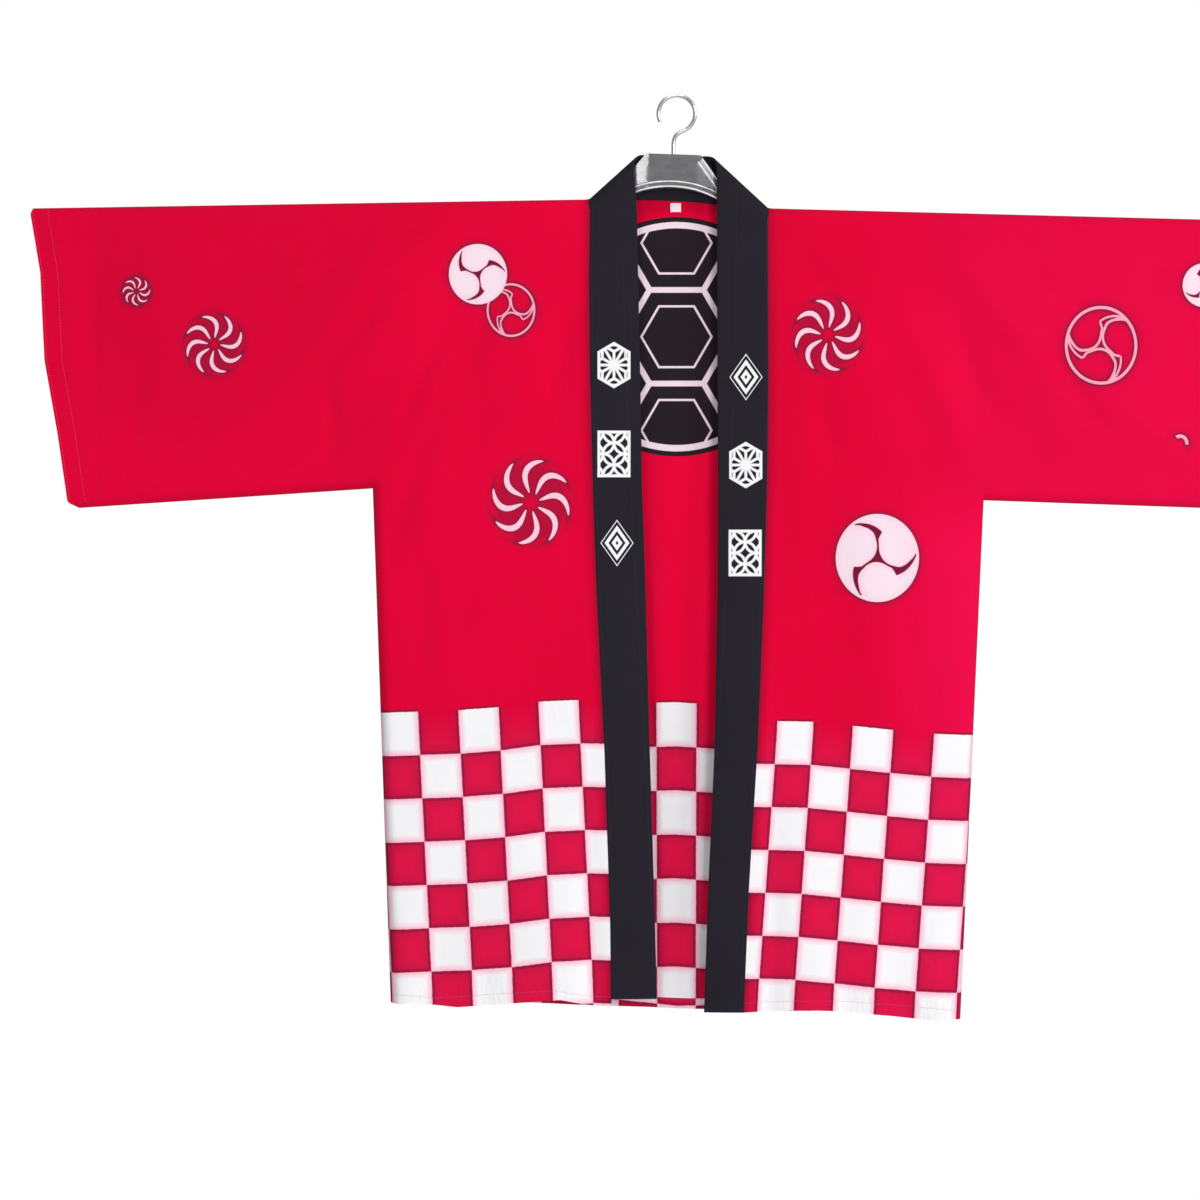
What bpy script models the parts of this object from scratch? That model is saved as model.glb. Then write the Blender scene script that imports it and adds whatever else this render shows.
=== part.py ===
"""A festival happi coat hung on a straight-armed hanger, at real size.

Metres, +Z up, the coat's front towards -Y. The origin is the inside of the hook's crown.
The coat hangs flat: each face stands a half-depth off the plane y = 0, rounded over to that
plane at the shoulder fold, the sleeve bottoms and the body's sides. Across the coat, places
are given as a reach outward from x = 0, and each side has a row of its own, because the
coat hangs a little lower on the wearer's left.
"""

import math
from collections import namedtuple

import bmesh
import bpy
from mathutils import Vector

COLLECTION = "happi_coat_on_hanger"

CLOTH = 0.0012  # one layer of cotton, stiffly woven
HEM_CLOTH = 0.0022  # where the hem or the cuff is turned up inside
SEAM_GAP = 0.0003
HEM_BAND = 0.011
CUFF_BAND = 0.020
HEM_STEP = 0.0004  # height over which a turned hem steps up

SHOULDER_ROUND = 0.012  # drop over which the shoulder fold rounds over
SIDE_ROUND = 0.012
FOLD_DEPTH = 0.010  # half-depth at the shoulder, over the hanger's bars

# Reach and height of the shoulder fold's ends at the neck and the cuff, of the underarm, of a
# point on the sleeve's bottom fold near the cuff, and of the side seam's foot.
Side = namedtuple(
    "Side", "name sign neck_x neck_z cuff_x cuff_z arm_x arm_z low_x low_z hem_x hem_z"
)
RIGHT = Side(
    "right", -1, 0.0896, -0.1056, 0.6644, -0.1148, 0.3142, -0.4043, 0.6070, -0.4238, 0.2956, -0.9347
)
LEFT = Side(
    "left", 1, 0.0937, -0.1148, 0.6640, -0.1294, 0.3172, -0.4166, 0.6100, -0.4268, 0.2930, -0.9520
)
SIDES = (RIGHT, LEFT)

# reach, height of the hem of each front
FRONT_HEM = {
    "right": (
        (0.0680, -0.9378),
        (0.0896, -0.9371),
        (0.1277, -0.9308),
        (0.1617, -0.9332),
        (0.2493, -0.9389),
        (0.2956, -0.9347),
    ),
    "left": (
        (0.0690, -0.9442),
        (0.1267, -0.9417),
        (0.1597, -0.9417),
        (0.2040, -0.9442),
        (0.2430, -0.9477),
        (0.2930, -0.9520),
    ),
}
# x, height of the back's hem
BACK_HEM = (
    (-0.2956, -0.9330),
    (-0.1500, -0.9375),
    (0.0, -0.9430),
    (0.1500, -0.9455),
    (0.2930, -0.9482),
)
# share of the sleeve's depth from the top, how far the cuff's edge lies in from its top corner
CUFF_EDGE = (
    (0.0, 0.0),
    (0.02, -0.0021),
    (0.217, 0.0082),
    (0.507, 0.0124),
    (0.753, 0.0258),
    (0.98, 0.0360),
    (1.0, 0.0470),
)

# drop below the shoulder, half-depth of the front, half-depth of the back
BODY_DEPTH = (
    (0.0, 0.0100, 0.0100),
    (0.03, 0.0100, 0.0100),
    (0.15, 0.0115, 0.0110),
    (0.35, 0.0145, 0.0130),
    (0.60, 0.0165, 0.0145),
    (0.84, 0.0155, 0.0135),
)
SLEEVE_DEPTH = (
    (0.0, 0.0100, 0.0100),
    (0.03, 0.0100, 0.0100),
    (0.12, 0.0098, 0.0096),
    (0.30, 0.0085, 0.0085),
)
# The body's depths hold in to BODY_REACH and the sleeve's from SLEEVE_REACH out.
BODY_REACH = 0.24
SLEEVE_REACH = 0.42

# Soft ridges (height above 0) and troughs from one end to the other, at true x.
# "runs_off" is 1 where the fold keeps its height to its lower end, at a hem.
Fold = namedtuple("Fold", "face x_top z_top x_low z_low width height runs_off")
FOLDS = (
    Fold("front", -0.205, -0.118, -0.395, -0.235, 0.020, 0.0026, 0),
    Fold("front", -0.225, -0.200, -0.315, -0.420, 0.018, 0.0032, 0),
    Fold("front", -0.170, -0.230, -0.262, -0.520, 0.022, -0.0018, 0),
    Fold("front", 0.255, -0.130, 0.400, -0.300, 0.020, 0.0028, 0),
    Fold("front", 0.205, -0.170, 0.322, -0.410, 0.020, 0.0032, 0),
    Fold("front", 0.160, -0.250, 0.250, -0.540, 0.022, -0.0020, 0),
    Fold("front", -0.185, -0.620, -0.130, -0.935, 0.026, 0.0030, 1),
    Fold("front", -0.235, -0.700, -0.240, -0.938, 0.024, -0.0026, 1),
    Fold("front", 0.120, -0.640, 0.140, -0.945, 0.026, 0.0028, 1),
    Fold("front", 0.240, -0.700, 0.225, -0.947, 0.024, -0.0024, 1),
    Fold("back", -0.190, -0.135, -0.330, -0.330, 0.024, 0.0024, 0),
    Fold("back", -0.150, -0.210, -0.300, -0.430, 0.020, 0.0028, 0),
    Fold("back", 0.200, -0.140, 0.350, -0.320, 0.024, 0.0026, 0),
    Fold("back", 0.140, -0.230, 0.300, -0.440, 0.020, 0.0026, 0),
    Fold("back", -0.160, -0.560, -0.185, -0.940, 0.030, 0.0030, 1),
    Fold("back", 0.030, -0.600, 0.045, -0.944, 0.034, -0.0026, 1),
    Fold("back", 0.190, -0.580, 0.205, -0.947, 0.030, 0.0030, 1),
)

# The collar band turns over the shoulder along a slanting fold: its seam edge and its free
# edge cross the fold's crest at these places, and creep along the fold as they go over.
NeckFold = namedtuple("NeckFold", "seam_x seam_z free_x free_z seam_creep free_creep")
NECK_FOLDS = {
    "right": NeckFold(0.0896, -0.1056, 0.0401, -0.0610, 0.009, 0.014),
    "left": NeckFold(0.0937, -0.1148, 0.0372, -0.0625, 0.009, 0.014),
}
# height, reach of the band's seam edge and of its free edge down each front
BAND_RUN = {
    "right": (
        (-0.0778, 0.0896, 0.0438),
        (-0.1190, 0.0896, 0.0412),
        (-0.1900, 0.0906, 0.0398),
        (-0.2800, 0.0897, 0.0380),
        (-0.4084, 0.0865, 0.0357),
        (-0.5011, 0.0833, 0.0325),
        (-0.6680, 0.0752, 0.0282),
        (-0.8534, 0.0690, 0.0226),
        (-0.9304, 0.0682, 0.0208),
    ),
    "left": (
        (-0.0793, 0.0935, 0.0407),
        (-0.1282, 0.0935, 0.0412),
        (-0.3000, 0.0941, 0.0418),
        (-0.4000, 0.0928, 0.0424),
        (-0.5200, 0.0892, 0.0417),
        (-0.6680, 0.0832, 0.0388),
        (-0.8160, 0.0742, 0.0322),
        (-0.9442, 0.0688, 0.0278),
    ),
}
BAND_FOOT = {"right": -0.9304, "left": -0.9442}
BAND_PROUD = 0.0007
BAND_DEEP = 0.0019
BAND_ROLL = 0.003  # how far the free edge rolls in towards the back
BAND_ROLL_SHARE = 0.2  # share of the front's length over which the roll sets in
NECK_GAP = 0.0005
NECK_PULL = 0.050  # length of the shoulder fold over which a front's rows are drawn to the neck
NECK_BOW = 0.005  # how far the neck seam arches over its chord at the middle of the back

LABEL_SIZE = (0.0110, 0.0008, 0.0092)
LABEL_CENTRE = (-0.0009, -0.1132)

YOKE_X = -0.0035
YOKE_TOP = -0.0593
YOKE_THICK = 0.011
YOKE_EDGE = 0.0022
YOKE_LEAN = 1.9
# reach, drop below the yoke's top, of its outer outline
YOKE_OUTLINE = (
    (0.0263, 0.0),
    (0.0458, 0.0250),
    (0.0530, 0.0360),
    (0.0640, 0.0440),
    (0.0640, 0.0720),
    (0.0510, 0.0720),
)
YOKE_FOOT = 4  # the row at the foot's outer lower corner
YOKE_ARCH_REACH = 0.0480
YOKE_ARCH_DROP = 0.0347
YOKE_ARCH_RADIUS = 0.108
ARCH_STEPS = 8

BAR_RADIUS = 0.0055
BAR_COVER = 0.0018  # clearance between a bar and the cloth over it
BAR_END = 0.636
BAR_GAP = 0.0010
BAR_SIDES = 16
BAR_EDGE = 0.0020

WIRE = 0.0020
HOOK_RADIUS = 0.019
HOOK_START = -70
HOOK_STOP = 205
SHANK_RISE = 0.010
SHANK_BEND = 0.008  # how firmly the shank leads into the bend, and the ring out of it
RING_BEND = 0.007
BEND_STEPS = 7
RING_STEPS = 26

# Where the walls' rows and columns fall: turns are angles round a rounded edge, and shares
# run along or across a panel between its rounded edges.
ZONE_TURNS = [math.radians(a) for a in (0, 22, 45, 67, 90)]
UPPER_SHARES = (0.16, 0.36, 0.58, 0.80)
LOWER_SHARES = (0.02, 0.10, 0.22, 0.34, 0.46, 0.58, 0.70, 0.82, 0.91)
MIDDLE_SHARES = (0.05, 0.16, 0.30, 0.44, 0.58, 0.72, 0.86)
NECK_ANGLES = [math.radians(a) for a in (90, 112, 135, 157, 180)]
NECK_SHARES = (0.2, 0.4, 0.6, 0.8)
SLEEVE_SHARES = (0.0, 0.10, 0.22, 0.35, 0.48, 0.61, 0.74, 0.87)
SLEEVE_MIDDLE = (0.14, 0.30, 0.46, 0.62, 0.78, 0.90)
BAND_RUN_SHARES = (0.03, 0.08, 0.15, 0.24, 0.34, 0.44, 0.54, 0.64, 0.74, 0.84, 0.92, 1.0)
BAND_ANGLES = [math.radians(a) for a in (0, 22, 45, 67, 90, 113, 135, 158, 180)]
BAND_ACROSS = (0.0, 0.25, 0.5, 0.75, 1.0)
BAND_BACK_SHARES = (0.2, 0.4, 0.6, 0.8)

RIGHT_ANGLE = 0.5 * math.pi
DIAGONAL = math.sqrt(0.5)
TINY = 1e-7

RED = (0.72, 0.004, 0.030)
BLACK = (0.016, 0.018, 0.024)
WHITE = (0.86, 0.86, 0.87)
PLASTIC = (0.055, 0.055, 0.060)
STEEL = (0.62, 0.62, 0.63)


# ---------------------------------------------------------------- measures


def between(low, high, share):
    return low + (high - low) * share


def eased(share):
    share = min(max(share, 0.0), 1.0)
    return share * share * (3 - 2 * share)


def read_table(table, at, column=1):
    """The value in a column at this place, straight between the table's rows and held past its ends."""
    rows = sorted(table)
    for low, high in zip(rows, rows[1:]):
        if at <= high[0]:
            share = (at - low[0]) / (high[0] - low[0])
            return between(low[column], high[column], min(max(share, 0.0), 1.0))
    return rows[-1][column]


def ridge_height(side, reach):
    """Height of the shoulder fold."""
    share = (reach - side.neck_x) / (side.cuff_x - side.neck_x)
    return between(side.neck_z, side.cuff_z, share)


def sleeve_low(side, reach):
    """Height of the sleeve's bottom fold."""
    share = (reach - side.arm_x) / (side.low_x - side.arm_x)
    return between(side.arm_z, side.low_z, share)


def side_reach(side, height):
    """Reach of the body's side: the armhole seam above the underarm, the side seam below it."""
    share = (side.arm_z - height) / (side.arm_z - side.hem_z)
    return between(side.arm_x, side.hem_x, max(share, 0.0))


def fold_lift(face, x, z):
    """What the soft folds add to a face's half-depth."""
    lift = 0.0
    for fold in FOLDS:
        if fold.face != face:
            continue
        start = Vector((fold.x_top, fold.z_top))
        run = Vector((fold.x_low, fold.z_low)) - start
        place = Vector((x, z)) - start
        share = place.dot(run) / run.length_squared
        off = (place - share * run).length / fold.width
        if fold.runs_off:
            taper = math.sin(RIGHT_ANGLE * min(max(share, 0.0), 1.0)) ** 2
        else:
            taper = math.sin(math.pi * min(max(share, 0.0), 1.0)) ** 2
        lift += fold.height * taper * math.exp(-off * off)
    return lift


def half_depth(face, side, reach, height):
    """How far a face stands off the plane y = 0, away from its rounded edges."""
    column = 1 if face == "front" else 2
    drop = ridge_height(side, reach) - height
    body = read_table(BODY_DEPTH, drop, column)
    sleeve = read_table(SLEEVE_DEPTH, drop, column)
    share = eased((reach - BODY_REACH) / (SLEEVE_REACH - BODY_REACH))
    return between(body, sleeve, share) + fold_lift(face, side.sign * reach, height)


# ---------------------------------------------------------------- walls


def wall_point(face, side, reach, height, turn, inward, cloth, stand_off):
    """The outer and the inner point of the wall at one place.

    turn is 0 on the silhouette and a right angle where the face is flat, and inward is
    the direction, as (reach, height), that leads away from the silhouette.
    """
    out = -1 if face == "front" else 1
    depth = stand_off + half_depth(face, side, reach, height) * math.sin(turn)
    outer = Vector((side.sign * reach, out * depth, height))
    step_in = cloth * math.cos(turn)
    inner = Vector(
        (
            side.sign * (reach + step_in * inward[0]),
            out * (depth - cloth * math.sin(turn)),
            height + step_in * inward[1],
        )
    )
    return outer, inner


def mesh_object(name, bm, material):
    bmesh.ops.recalc_face_normals(bm, faces=bm.faces)
    mesh = bpy.data.meshes.new(name)
    bm.to_mesh(mesh)
    bm.free()
    mesh.materials.append(material)
    obj = bpy.data.objects.new(name, mesh)
    bpy.data.collections[COLLECTION].objects.link(obj)
    return obj


def cloth_wall(name, grid, material, ring=False):
    """A closed wall through a grid of (outer, inner) points, or a tube where each row is a ring."""
    bm = bmesh.new()
    layers = [[[bm.verts.new(pair[k]) for pair in row] for row in grid] for k in (0, 1)]
    rows = len(grid)
    columns = len(grid[0])
    steps = columns if ring else columns - 1
    for layer in layers:
        for i in range(rows - 1):
            for j in range(steps):
                k = (j + 1) % columns
                bm.faces.new((layer[i][j], layer[i][k], layer[i + 1][k], layer[i + 1][j]))
    outer, inner = layers
    for i in (0, rows - 1):
        for j in range(steps):
            k = (j + 1) % columns
            bm.faces.new((outer[i][j], outer[i][k], inner[i][k], inner[i][j]))
    if not ring:
        for j in (0, columns - 1):
            for i in range(rows - 1):
                bm.faces.new((outer[i][j], outer[i + 1][j], inner[i + 1][j], inner[i][j]))
    return mesh_object(name, bm, material)


# ---------------------------------------------------------------- the neck


def neck_frame(side):
    """The slanting fold's crest: its direction towards the free edge, and the way out of the coat."""
    fold = NECK_FOLDS[side.name]
    along = Vector((fold.free_x - fold.seam_x, fold.free_z - fold.seam_z)).normalized()
    out = Vector((-along.y, along.x))
    return fold, along, out if out.y > 0 else -out


def neck_curve(side, edge, angle):
    """(reach, y, height) of the band's seam or free edge as it goes over the shoulder.

    angle runs from 0 on the front, over the crest at a right angle, to pi on the back.
    """
    fold, along, out = neck_frame(side)
    if edge == "seam":
        crest = Vector((fold.seam_x, fold.seam_z))
        creep = fold.seam_creep
    else:
        crest = Vector((fold.free_x, fold.free_z))
        creep = fold.free_creep
    place = crest + along * creep * (angle / RIGHT_ANGLE - 1)
    place += out * FOLD_DEPTH * (math.sin(angle) - 1)
    return place.x, -(SEAM_GAP / 2 + FOLD_DEPTH) * math.cos(angle), place.y


def neck_bow(share):
    """How far the neck seam arches over its chord, at this share of the way across the back."""
    return 4 * NECK_BOW * share * (1 - share)


def band_edges(side, share):
    """Seam and free edge, as (reach, height), at this share of the way down a front."""
    seam_start = neck_curve(side, "seam", 0.0)
    free_start = neck_curve(side, "free", 0.0)
    foot = BAND_FOOT[side.name]
    seam_z = between(seam_start[2], foot, share)
    free_z = between(free_start[2], foot, share)
    run = BAND_RUN[side.name]
    return (read_table(run, seam_z, 1), seam_z), (read_table(run, free_z, 2), free_z)


# ---------------------------------------------------------------- fronts and back

def body_rows(side, hem):
    """The rows below the shoulder's rounding: each as (height at a reach, cloth)."""
    top = lambda reach: ridge_height(side, reach) - SHOULDER_ROUND
    arm_top = side.arm_z + SIDE_ROUND
    rows = []
    for share in UPPER_SHARES:
        rows.append((lambda reach, s=share: between(top(reach), arm_top, s), CLOTH))
    for turn in reversed(ZONE_TURNS):
        height = side.arm_z + SIDE_ROUND * (1 - math.cos(turn))
        rows.append((lambda reach, z=height: z, CLOTH))
    for share in LOWER_SHARES:
        rows.append((lambda reach, s=share: between(side.arm_z, hem(reach) + HEM_BAND, s), CLOTH))
    rows.append((lambda reach: hem(reach) + HEM_BAND, CLOTH))
    rows.append((lambda reach: hem(reach) + HEM_BAND - HEM_STEP, HEM_CLOTH))
    rows.append((lambda reach: hem(reach), HEM_CLOTH))
    return rows


def edge_turn(side, from_side, height):
    """How far the face has turned from the silhouette here, and the way in from it."""
    rise = max(height - side.arm_z, 0.0)
    distance = math.hypot(from_side, rise)
    if distance > TINY:
        inward = (-from_side / distance, rise / distance)
    elif height < side.arm_z - TINY:
        inward = (-1.0, 0.0)
    else:
        inward = (-DIAGONAL, DIAGONAL)
    if distance >= SIDE_ROUND:
        return RIGHT_ANGLE, inward
    return math.acos(1 - distance / SIDE_ROUND), inward


def body_point(face, side, from_side, height, cloth):
    reach = side_reach(side, height) - from_side
    turn, inward = edge_turn(side, from_side, height)
    return wall_point(face, side, reach - SEAM_GAP / 2, height, turn, inward, cloth, SEAM_GAP / 2)


def side_columns():
    return [SIDE_ROUND * (1 - math.cos(turn)) for turn in ZONE_TURNS]


def front_hem(side):
    return lambda reach: read_table(FRONT_HEM[side.name], reach)


def front_seam(side, height):
    return read_table(BAND_RUN[side.name], height, 1) + NECK_GAP


def front_panel(side, material):
    """A front: rows from the shoulder fold to the hem, columns from the band's seam to the side."""
    hem = front_hem(side)
    grid = []
    for turn in ZONE_TURNS:
        grid.append(front_shoulder_row(side, turn))
    for height_at, cloth in body_rows(side, hem):
        row = []
        for share in (0.0,) + MIDDLE_SHARES:
            reach = between(front_seam(side, height_at(side.neck_x)), side.arm_x, share)
            height = height_at(reach)
            flat = side_reach(side, height) - SIDE_ROUND - front_seam(side, height)
            row.append(body_point("front", side, SIDE_ROUND + flat * (1 - share), height, cloth))
        for from_side in reversed(side_columns()):
            height = height_at(side.hem_x - from_side)
            row.append(body_point("front", side, from_side, height, cloth))
        grid.append(row)
    return cloth_wall("front_" + side.name, grid, material)


def front_shoulder_row(side, turn):
    """One row of a front's rounding over the shoulder, drawn to the band's seam at the neck."""
    row = []
    drop = SHOULDER_ROUND * (1 - math.cos(turn))
    seam = neck_curve(side, "seam", RIGHT_ANGLE - turn)
    start = side.neck_x + NECK_GAP
    stop = side.arm_x - SIDE_ROUND
    for share in (0.0,) + MIDDLE_SHARES:
        reach = between(start, stop, share)
        pull = 1 - eased((reach - start) / NECK_PULL)
        height = ridge_height(side, reach) - drop
        reach += pull * (seam[0] + NECK_GAP - start)
        height += pull * (seam[2] - (side.neck_z - drop))
        row.append(wall_point("front", side, reach, height, turn, (0, -1), CLOTH, SEAM_GAP / 2))
    for from_side in reversed(side_columns()):
        reach = side.arm_x - from_side
        height = ridge_height(side, reach) - drop
        reach -= SEAM_GAP / 2
        row.append(wall_point("front", side, reach, height, turn, (0, -1), CLOTH, SEAM_GAP / 2))
    return row


def back_top_edge():
    """The back's top edge from side to side: (side, reach, height, turn that it starts from)."""
    halves = []
    for side in SIDES:
        half = []
        for from_side in side_columns():
            reach = side.arm_x - from_side
            gap = 0.0 if from_side else SEAM_GAP / 2
            half.append((side, reach - gap, ridge_height(side, reach), 0.0))
        for share in reversed(MIDDLE_SHARES):
            reach = between(side.neck_x, side.arm_x - SIDE_ROUND, share)
            half.append((side, reach, ridge_height(side, reach), 0.0))
        for angle in NECK_ANGLES:
            reach, _, height = neck_curve(side, "seam", angle)
            half.append((side, reach, height - NECK_GAP, angle - RIGHT_ANGLE))
        halves.append(half)
    right, left = halves
    middle = []
    for share in NECK_SHARES:
        x = between(-right[-1][1], left[-1][1], share)
        height = between(right[-1][2], left[-1][2], share) + neck_bow(share)
        side = LEFT if x > 0 else RIGHT
        middle.append((side, abs(x), height, RIGHT_ANGLE))
    return right + middle + left[::-1]


def back_panel(material):
    """The back: rows from the shoulder fold and the neck seam down to the hem."""
    top = back_top_edge()
    grid = []
    steps = len(ZONE_TURNS) - 1
    for k in range(steps + 1):
        row = []
        for side, reach, start, first in top:
            turn = between(first, RIGHT_ANGLE, k / steps)
            height = start - SHOULDER_ROUND * (math.cos(first) - math.cos(turn))
            height -= SHOULDER_ROUND * (1 - math.cos(first)) * k / steps
            row.append(wall_point("back", side, reach, height, turn, (0, -1), CLOTH, SEAM_GAP / 2))
        grid.append(row)
    row_sets = {side.name: body_rows(side, lambda reach, s=side: back_hem(s, reach)) for side in SIDES}
    for i in range(len(row_sets["right"])):
        grid.append([back_row_point(top, j, i, row_sets) for j in range(len(top))])
    return cloth_wall("back", grid, material)


def back_hem(side, reach):
    return read_table(BACK_HEM, side.sign * reach)


def back_row_point(top, column, index, row_sets):
    """A point of the back below the shoulder's rounding, straight under its point on the top edge."""
    side, reach, start, first = top[column]
    height_at, cloth = row_sets[side.name][index]
    gap = SEAM_GAP / 2 if column in (0, len(top) - 1) else 0.0
    from_side = max(side.arm_x - reach - gap, 0.0)
    height = height_at(reach)
    if first or from_side > SIDE_ROUND + TINY:
        share = from_side / side.arm_x
        from_side = share * side_reach(side, height)
        height = blended_height(side, reach, height, index, row_sets, start, first)
    turn, inward = edge_turn(side, from_side, height)
    reach = side_reach(side, height) - from_side
    return wall_point("back", side, reach - gap, height, turn, inward, cloth, SEAM_GAP / 2)


def blended_height(side, reach, height, index, row_sets, start, first):
    """Across the centre the two sides' rows meet halfway, and start below the neck seam."""
    other = LEFT if side is RIGHT else RIGHT
    share = 0.5 * (1 - min(reach / side.neck_x, 1.0))
    height = between(height, row_sets[other.name][index][0](reach), share)
    if index < len(UPPER_SHARES):
        shoulder = ridge_height(side, reach) - SHOULDER_ROUND
        neck = start - SHOULDER_ROUND
        height += (neck - shoulder) * (1 - UPPER_SHARES[index]) * (1 if first else 0)
    return height


# ---------------------------------------------------------------- sleeves

def sleeve_ring():
    """The places round the sleeve: (face, kind of stretch, its value)."""
    down = [("front", "top", turn) for turn in ZONE_TURNS]
    down += [("front", "middle", share) for share in SLEEVE_MIDDLE]
    down += [("front", "low", turn) for turn in reversed(ZONE_TURNS)]
    up = [("back", kind, value) for _, kind, value in reversed(down[1:-1])]
    return down + up


def sleeve_height(side, reach, kind, value):
    top = ridge_height(side, reach)
    low = sleeve_low(side, reach)
    if kind == "top":
        return top - SHOULDER_ROUND * (1 - math.cos(value))
    if kind == "low":
        return low + SIDE_ROUND * (1 - math.cos(value))
    return between(top - SHOULDER_ROUND, low + SIDE_ROUND, value)


def cuff_reach(side, kind, value):
    """Reach of the cuff's edge at this place round it."""
    height = sleeve_height(side, side.cuff_x, kind, value)
    top = ridge_height(side, side.cuff_x)
    share = (top - height) / (top - sleeve_low(side, side.cuff_x))
    return side.cuff_x - read_table(CUFF_EDGE, share)


def sleeve(side, material):
    start = side.arm_x + SEAM_GAP / 2
    sections = [(share, 0.0, CLOTH) for share in SLEEVE_SHARES]
    sections += [(1.0, CUFF_BAND, CLOTH), (1.0, CUFF_BAND - HEM_STEP, HEM_CLOTH), (1.0, 0.0, HEM_CLOTH)]
    grid = []
    for share, back_off, cloth in sections:
        ring = []
        for face, kind, value in sleeve_ring():
            end = cuff_reach(side, kind, value)
            reach = between(start, end - (CUFF_BAND if share < 1 else 0.0), share) - back_off
            height = sleeve_height(side, reach, kind, value)
            turn = RIGHT_ANGLE if kind == "middle" else value
            inward = (0, 1) if kind == "low" else (0, -1)
            ring.append(wall_point(face, side, reach, height, turn, inward, cloth, 0.0))
        grid.append(ring)
    return cloth_wall("sleeve_" + side.name, grid, material, ring=True)


# ---------------------------------------------------------------- collar band and label

def band_pair(place, normal):
    return place + BAND_PROUD * normal, place - BAND_DEEP * normal


def band_front_row(side, share):
    (seam_reach, seam_z), (free_reach, free_z) = band_edges(side, share)
    row = []
    for across in BAND_ACROSS:
        reach = between(seam_reach, free_reach, across)
        height = between(seam_z, free_z, across)
        depth = SEAM_GAP / 2 + half_depth("front", side, reach, height)
        depth -= BAND_ROLL * across * across * eased(share / BAND_ROLL_SHARE)
        row.append(band_pair(Vector((side.sign * reach, -depth, height)), Vector((0, -1, 0))))
    return row


def band_fold_row(side, angle):
    _, _, out = neck_frame(side)
    normal = Vector(
        (side.sign * out.x * math.sin(angle), -math.cos(angle), out.y * math.sin(angle))
    )
    ends = []
    for edge in ("seam", "free"):
        reach, y, height = neck_curve(side, edge, angle)
        ends.append(Vector((side.sign * reach, y, height)))
    return [band_pair(ends[0].lerp(ends[1], across), normal) for across in BAND_ACROSS]


def collar_front(side, material):
    """The band's run down one front, from its joining seam below the shoulder to the hem."""
    run = neck_curve(side, "seam", 0.0)[2] - BAND_FOOT[side.name]
    shares = (SEAM_GAP / run,) + BAND_RUN_SHARES
    rows = [band_front_row(side, share) for share in shares]
    return cloth_wall("collar_" + side.name, rows, material)


def collar_neck(material):
    """The band's stretch over the right shoulder, round the neck and over the left shoulder."""
    rows = [band_fold_row(RIGHT, angle) for angle in BAND_ANGLES]
    last_right = band_fold_row(RIGHT, math.pi)
    last_left = band_fold_row(LEFT, math.pi)
    for share in BAND_BACK_SHARES:
        row = []
        for across, a, b in zip(BAND_ACROSS, last_right, last_left):
            lift = Vector((0, 0, (1 - across) * neck_bow(share)))
            row.append((a[0].lerp(b[0], share) + lift, a[1].lerp(b[1], share) + lift))
        rows.append(row)
    rows += [band_fold_row(LEFT, angle) for angle in reversed(BAND_ANGLES)]
    return cloth_wall("collar_neck", rows, material)


def box(name, size, centre, material):
    bm = bmesh.new()
    bmesh.ops.create_cube(bm, size=1.0)
    bmesh.ops.scale(bm, vec=size, verts=bm.verts)
    obj = mesh_object(name, bm, material)
    obj.location = centre
    return obj


def label(material):
    inner_face = SEAM_GAP / 2 + FOLD_DEPTH - CLOTH
    y = inner_face - SEAM_GAP - LABEL_SIZE[1] / 2
    return box("label", LABEL_SIZE, (LABEL_CENTRE[0], y, LABEL_CENTRE[1]), material)


# ---------------------------------------------------------------- hanger


def yoke_outline():
    """The yoke's front view, as (x, z) from the middle of its top edge, in order."""
    right = [(reach, -drop) for reach, drop in YOKE_OUTLINE]
    arch = []
    for step in range(ARCH_STEPS + 1):
        reach = YOKE_ARCH_REACH * (1 - step / ARCH_STEPS)
        rise = YOKE_ARCH_RADIUS - math.sqrt(YOKE_ARCH_RADIUS**2 - reach**2)
        arch.append((reach, -YOKE_ARCH_DROP - rise))
    half = right + arch
    return half + [(-x, z) for x, z in reversed(half[:-1])]


def hanger_yoke(material):
    bm = bmesh.new()
    face = bm.faces.new([bm.verts.new((x, -YOKE_THICK / 2, z)) for x, z in yoke_outline()])
    made = bmesh.ops.extrude_face_region(bm, geom=[face])
    moved = [item for item in made["geom"] if isinstance(item, bmesh.types.BMVert)]
    bmesh.ops.translate(bm, vec=(0, YOKE_THICK, 0), verts=moved)
    obj = mesh_object("hanger_yoke", bm, material)
    obj.location = (YOKE_X, 0, YOKE_TOP)
    obj.rotation_euler = (0, math.radians(YOKE_LEAN), 0)
    bevel = obj.modifiers.new("rounded_rim", "BEVEL")
    bevel.width = YOKE_EDGE
    bevel.segments = 2
    bevel.limit_method = "ANGLE"
    bevel.angle_limit = math.radians(40)
    return obj


def bar_height(side, reach):
    return ridge_height(side, reach) - CLOTH - BAR_COVER - BAR_RADIUS


def foot_reach(side):
    """Reach of the leaning yoke's outer face where the bar meets it."""
    lean = math.radians(YOKE_LEAN)
    reach, drop = YOKE_OUTLINE[YOKE_FOOT]
    return reach * math.cos(lean) + side.sign * (YOKE_X - drop * math.sin(lean))


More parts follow.
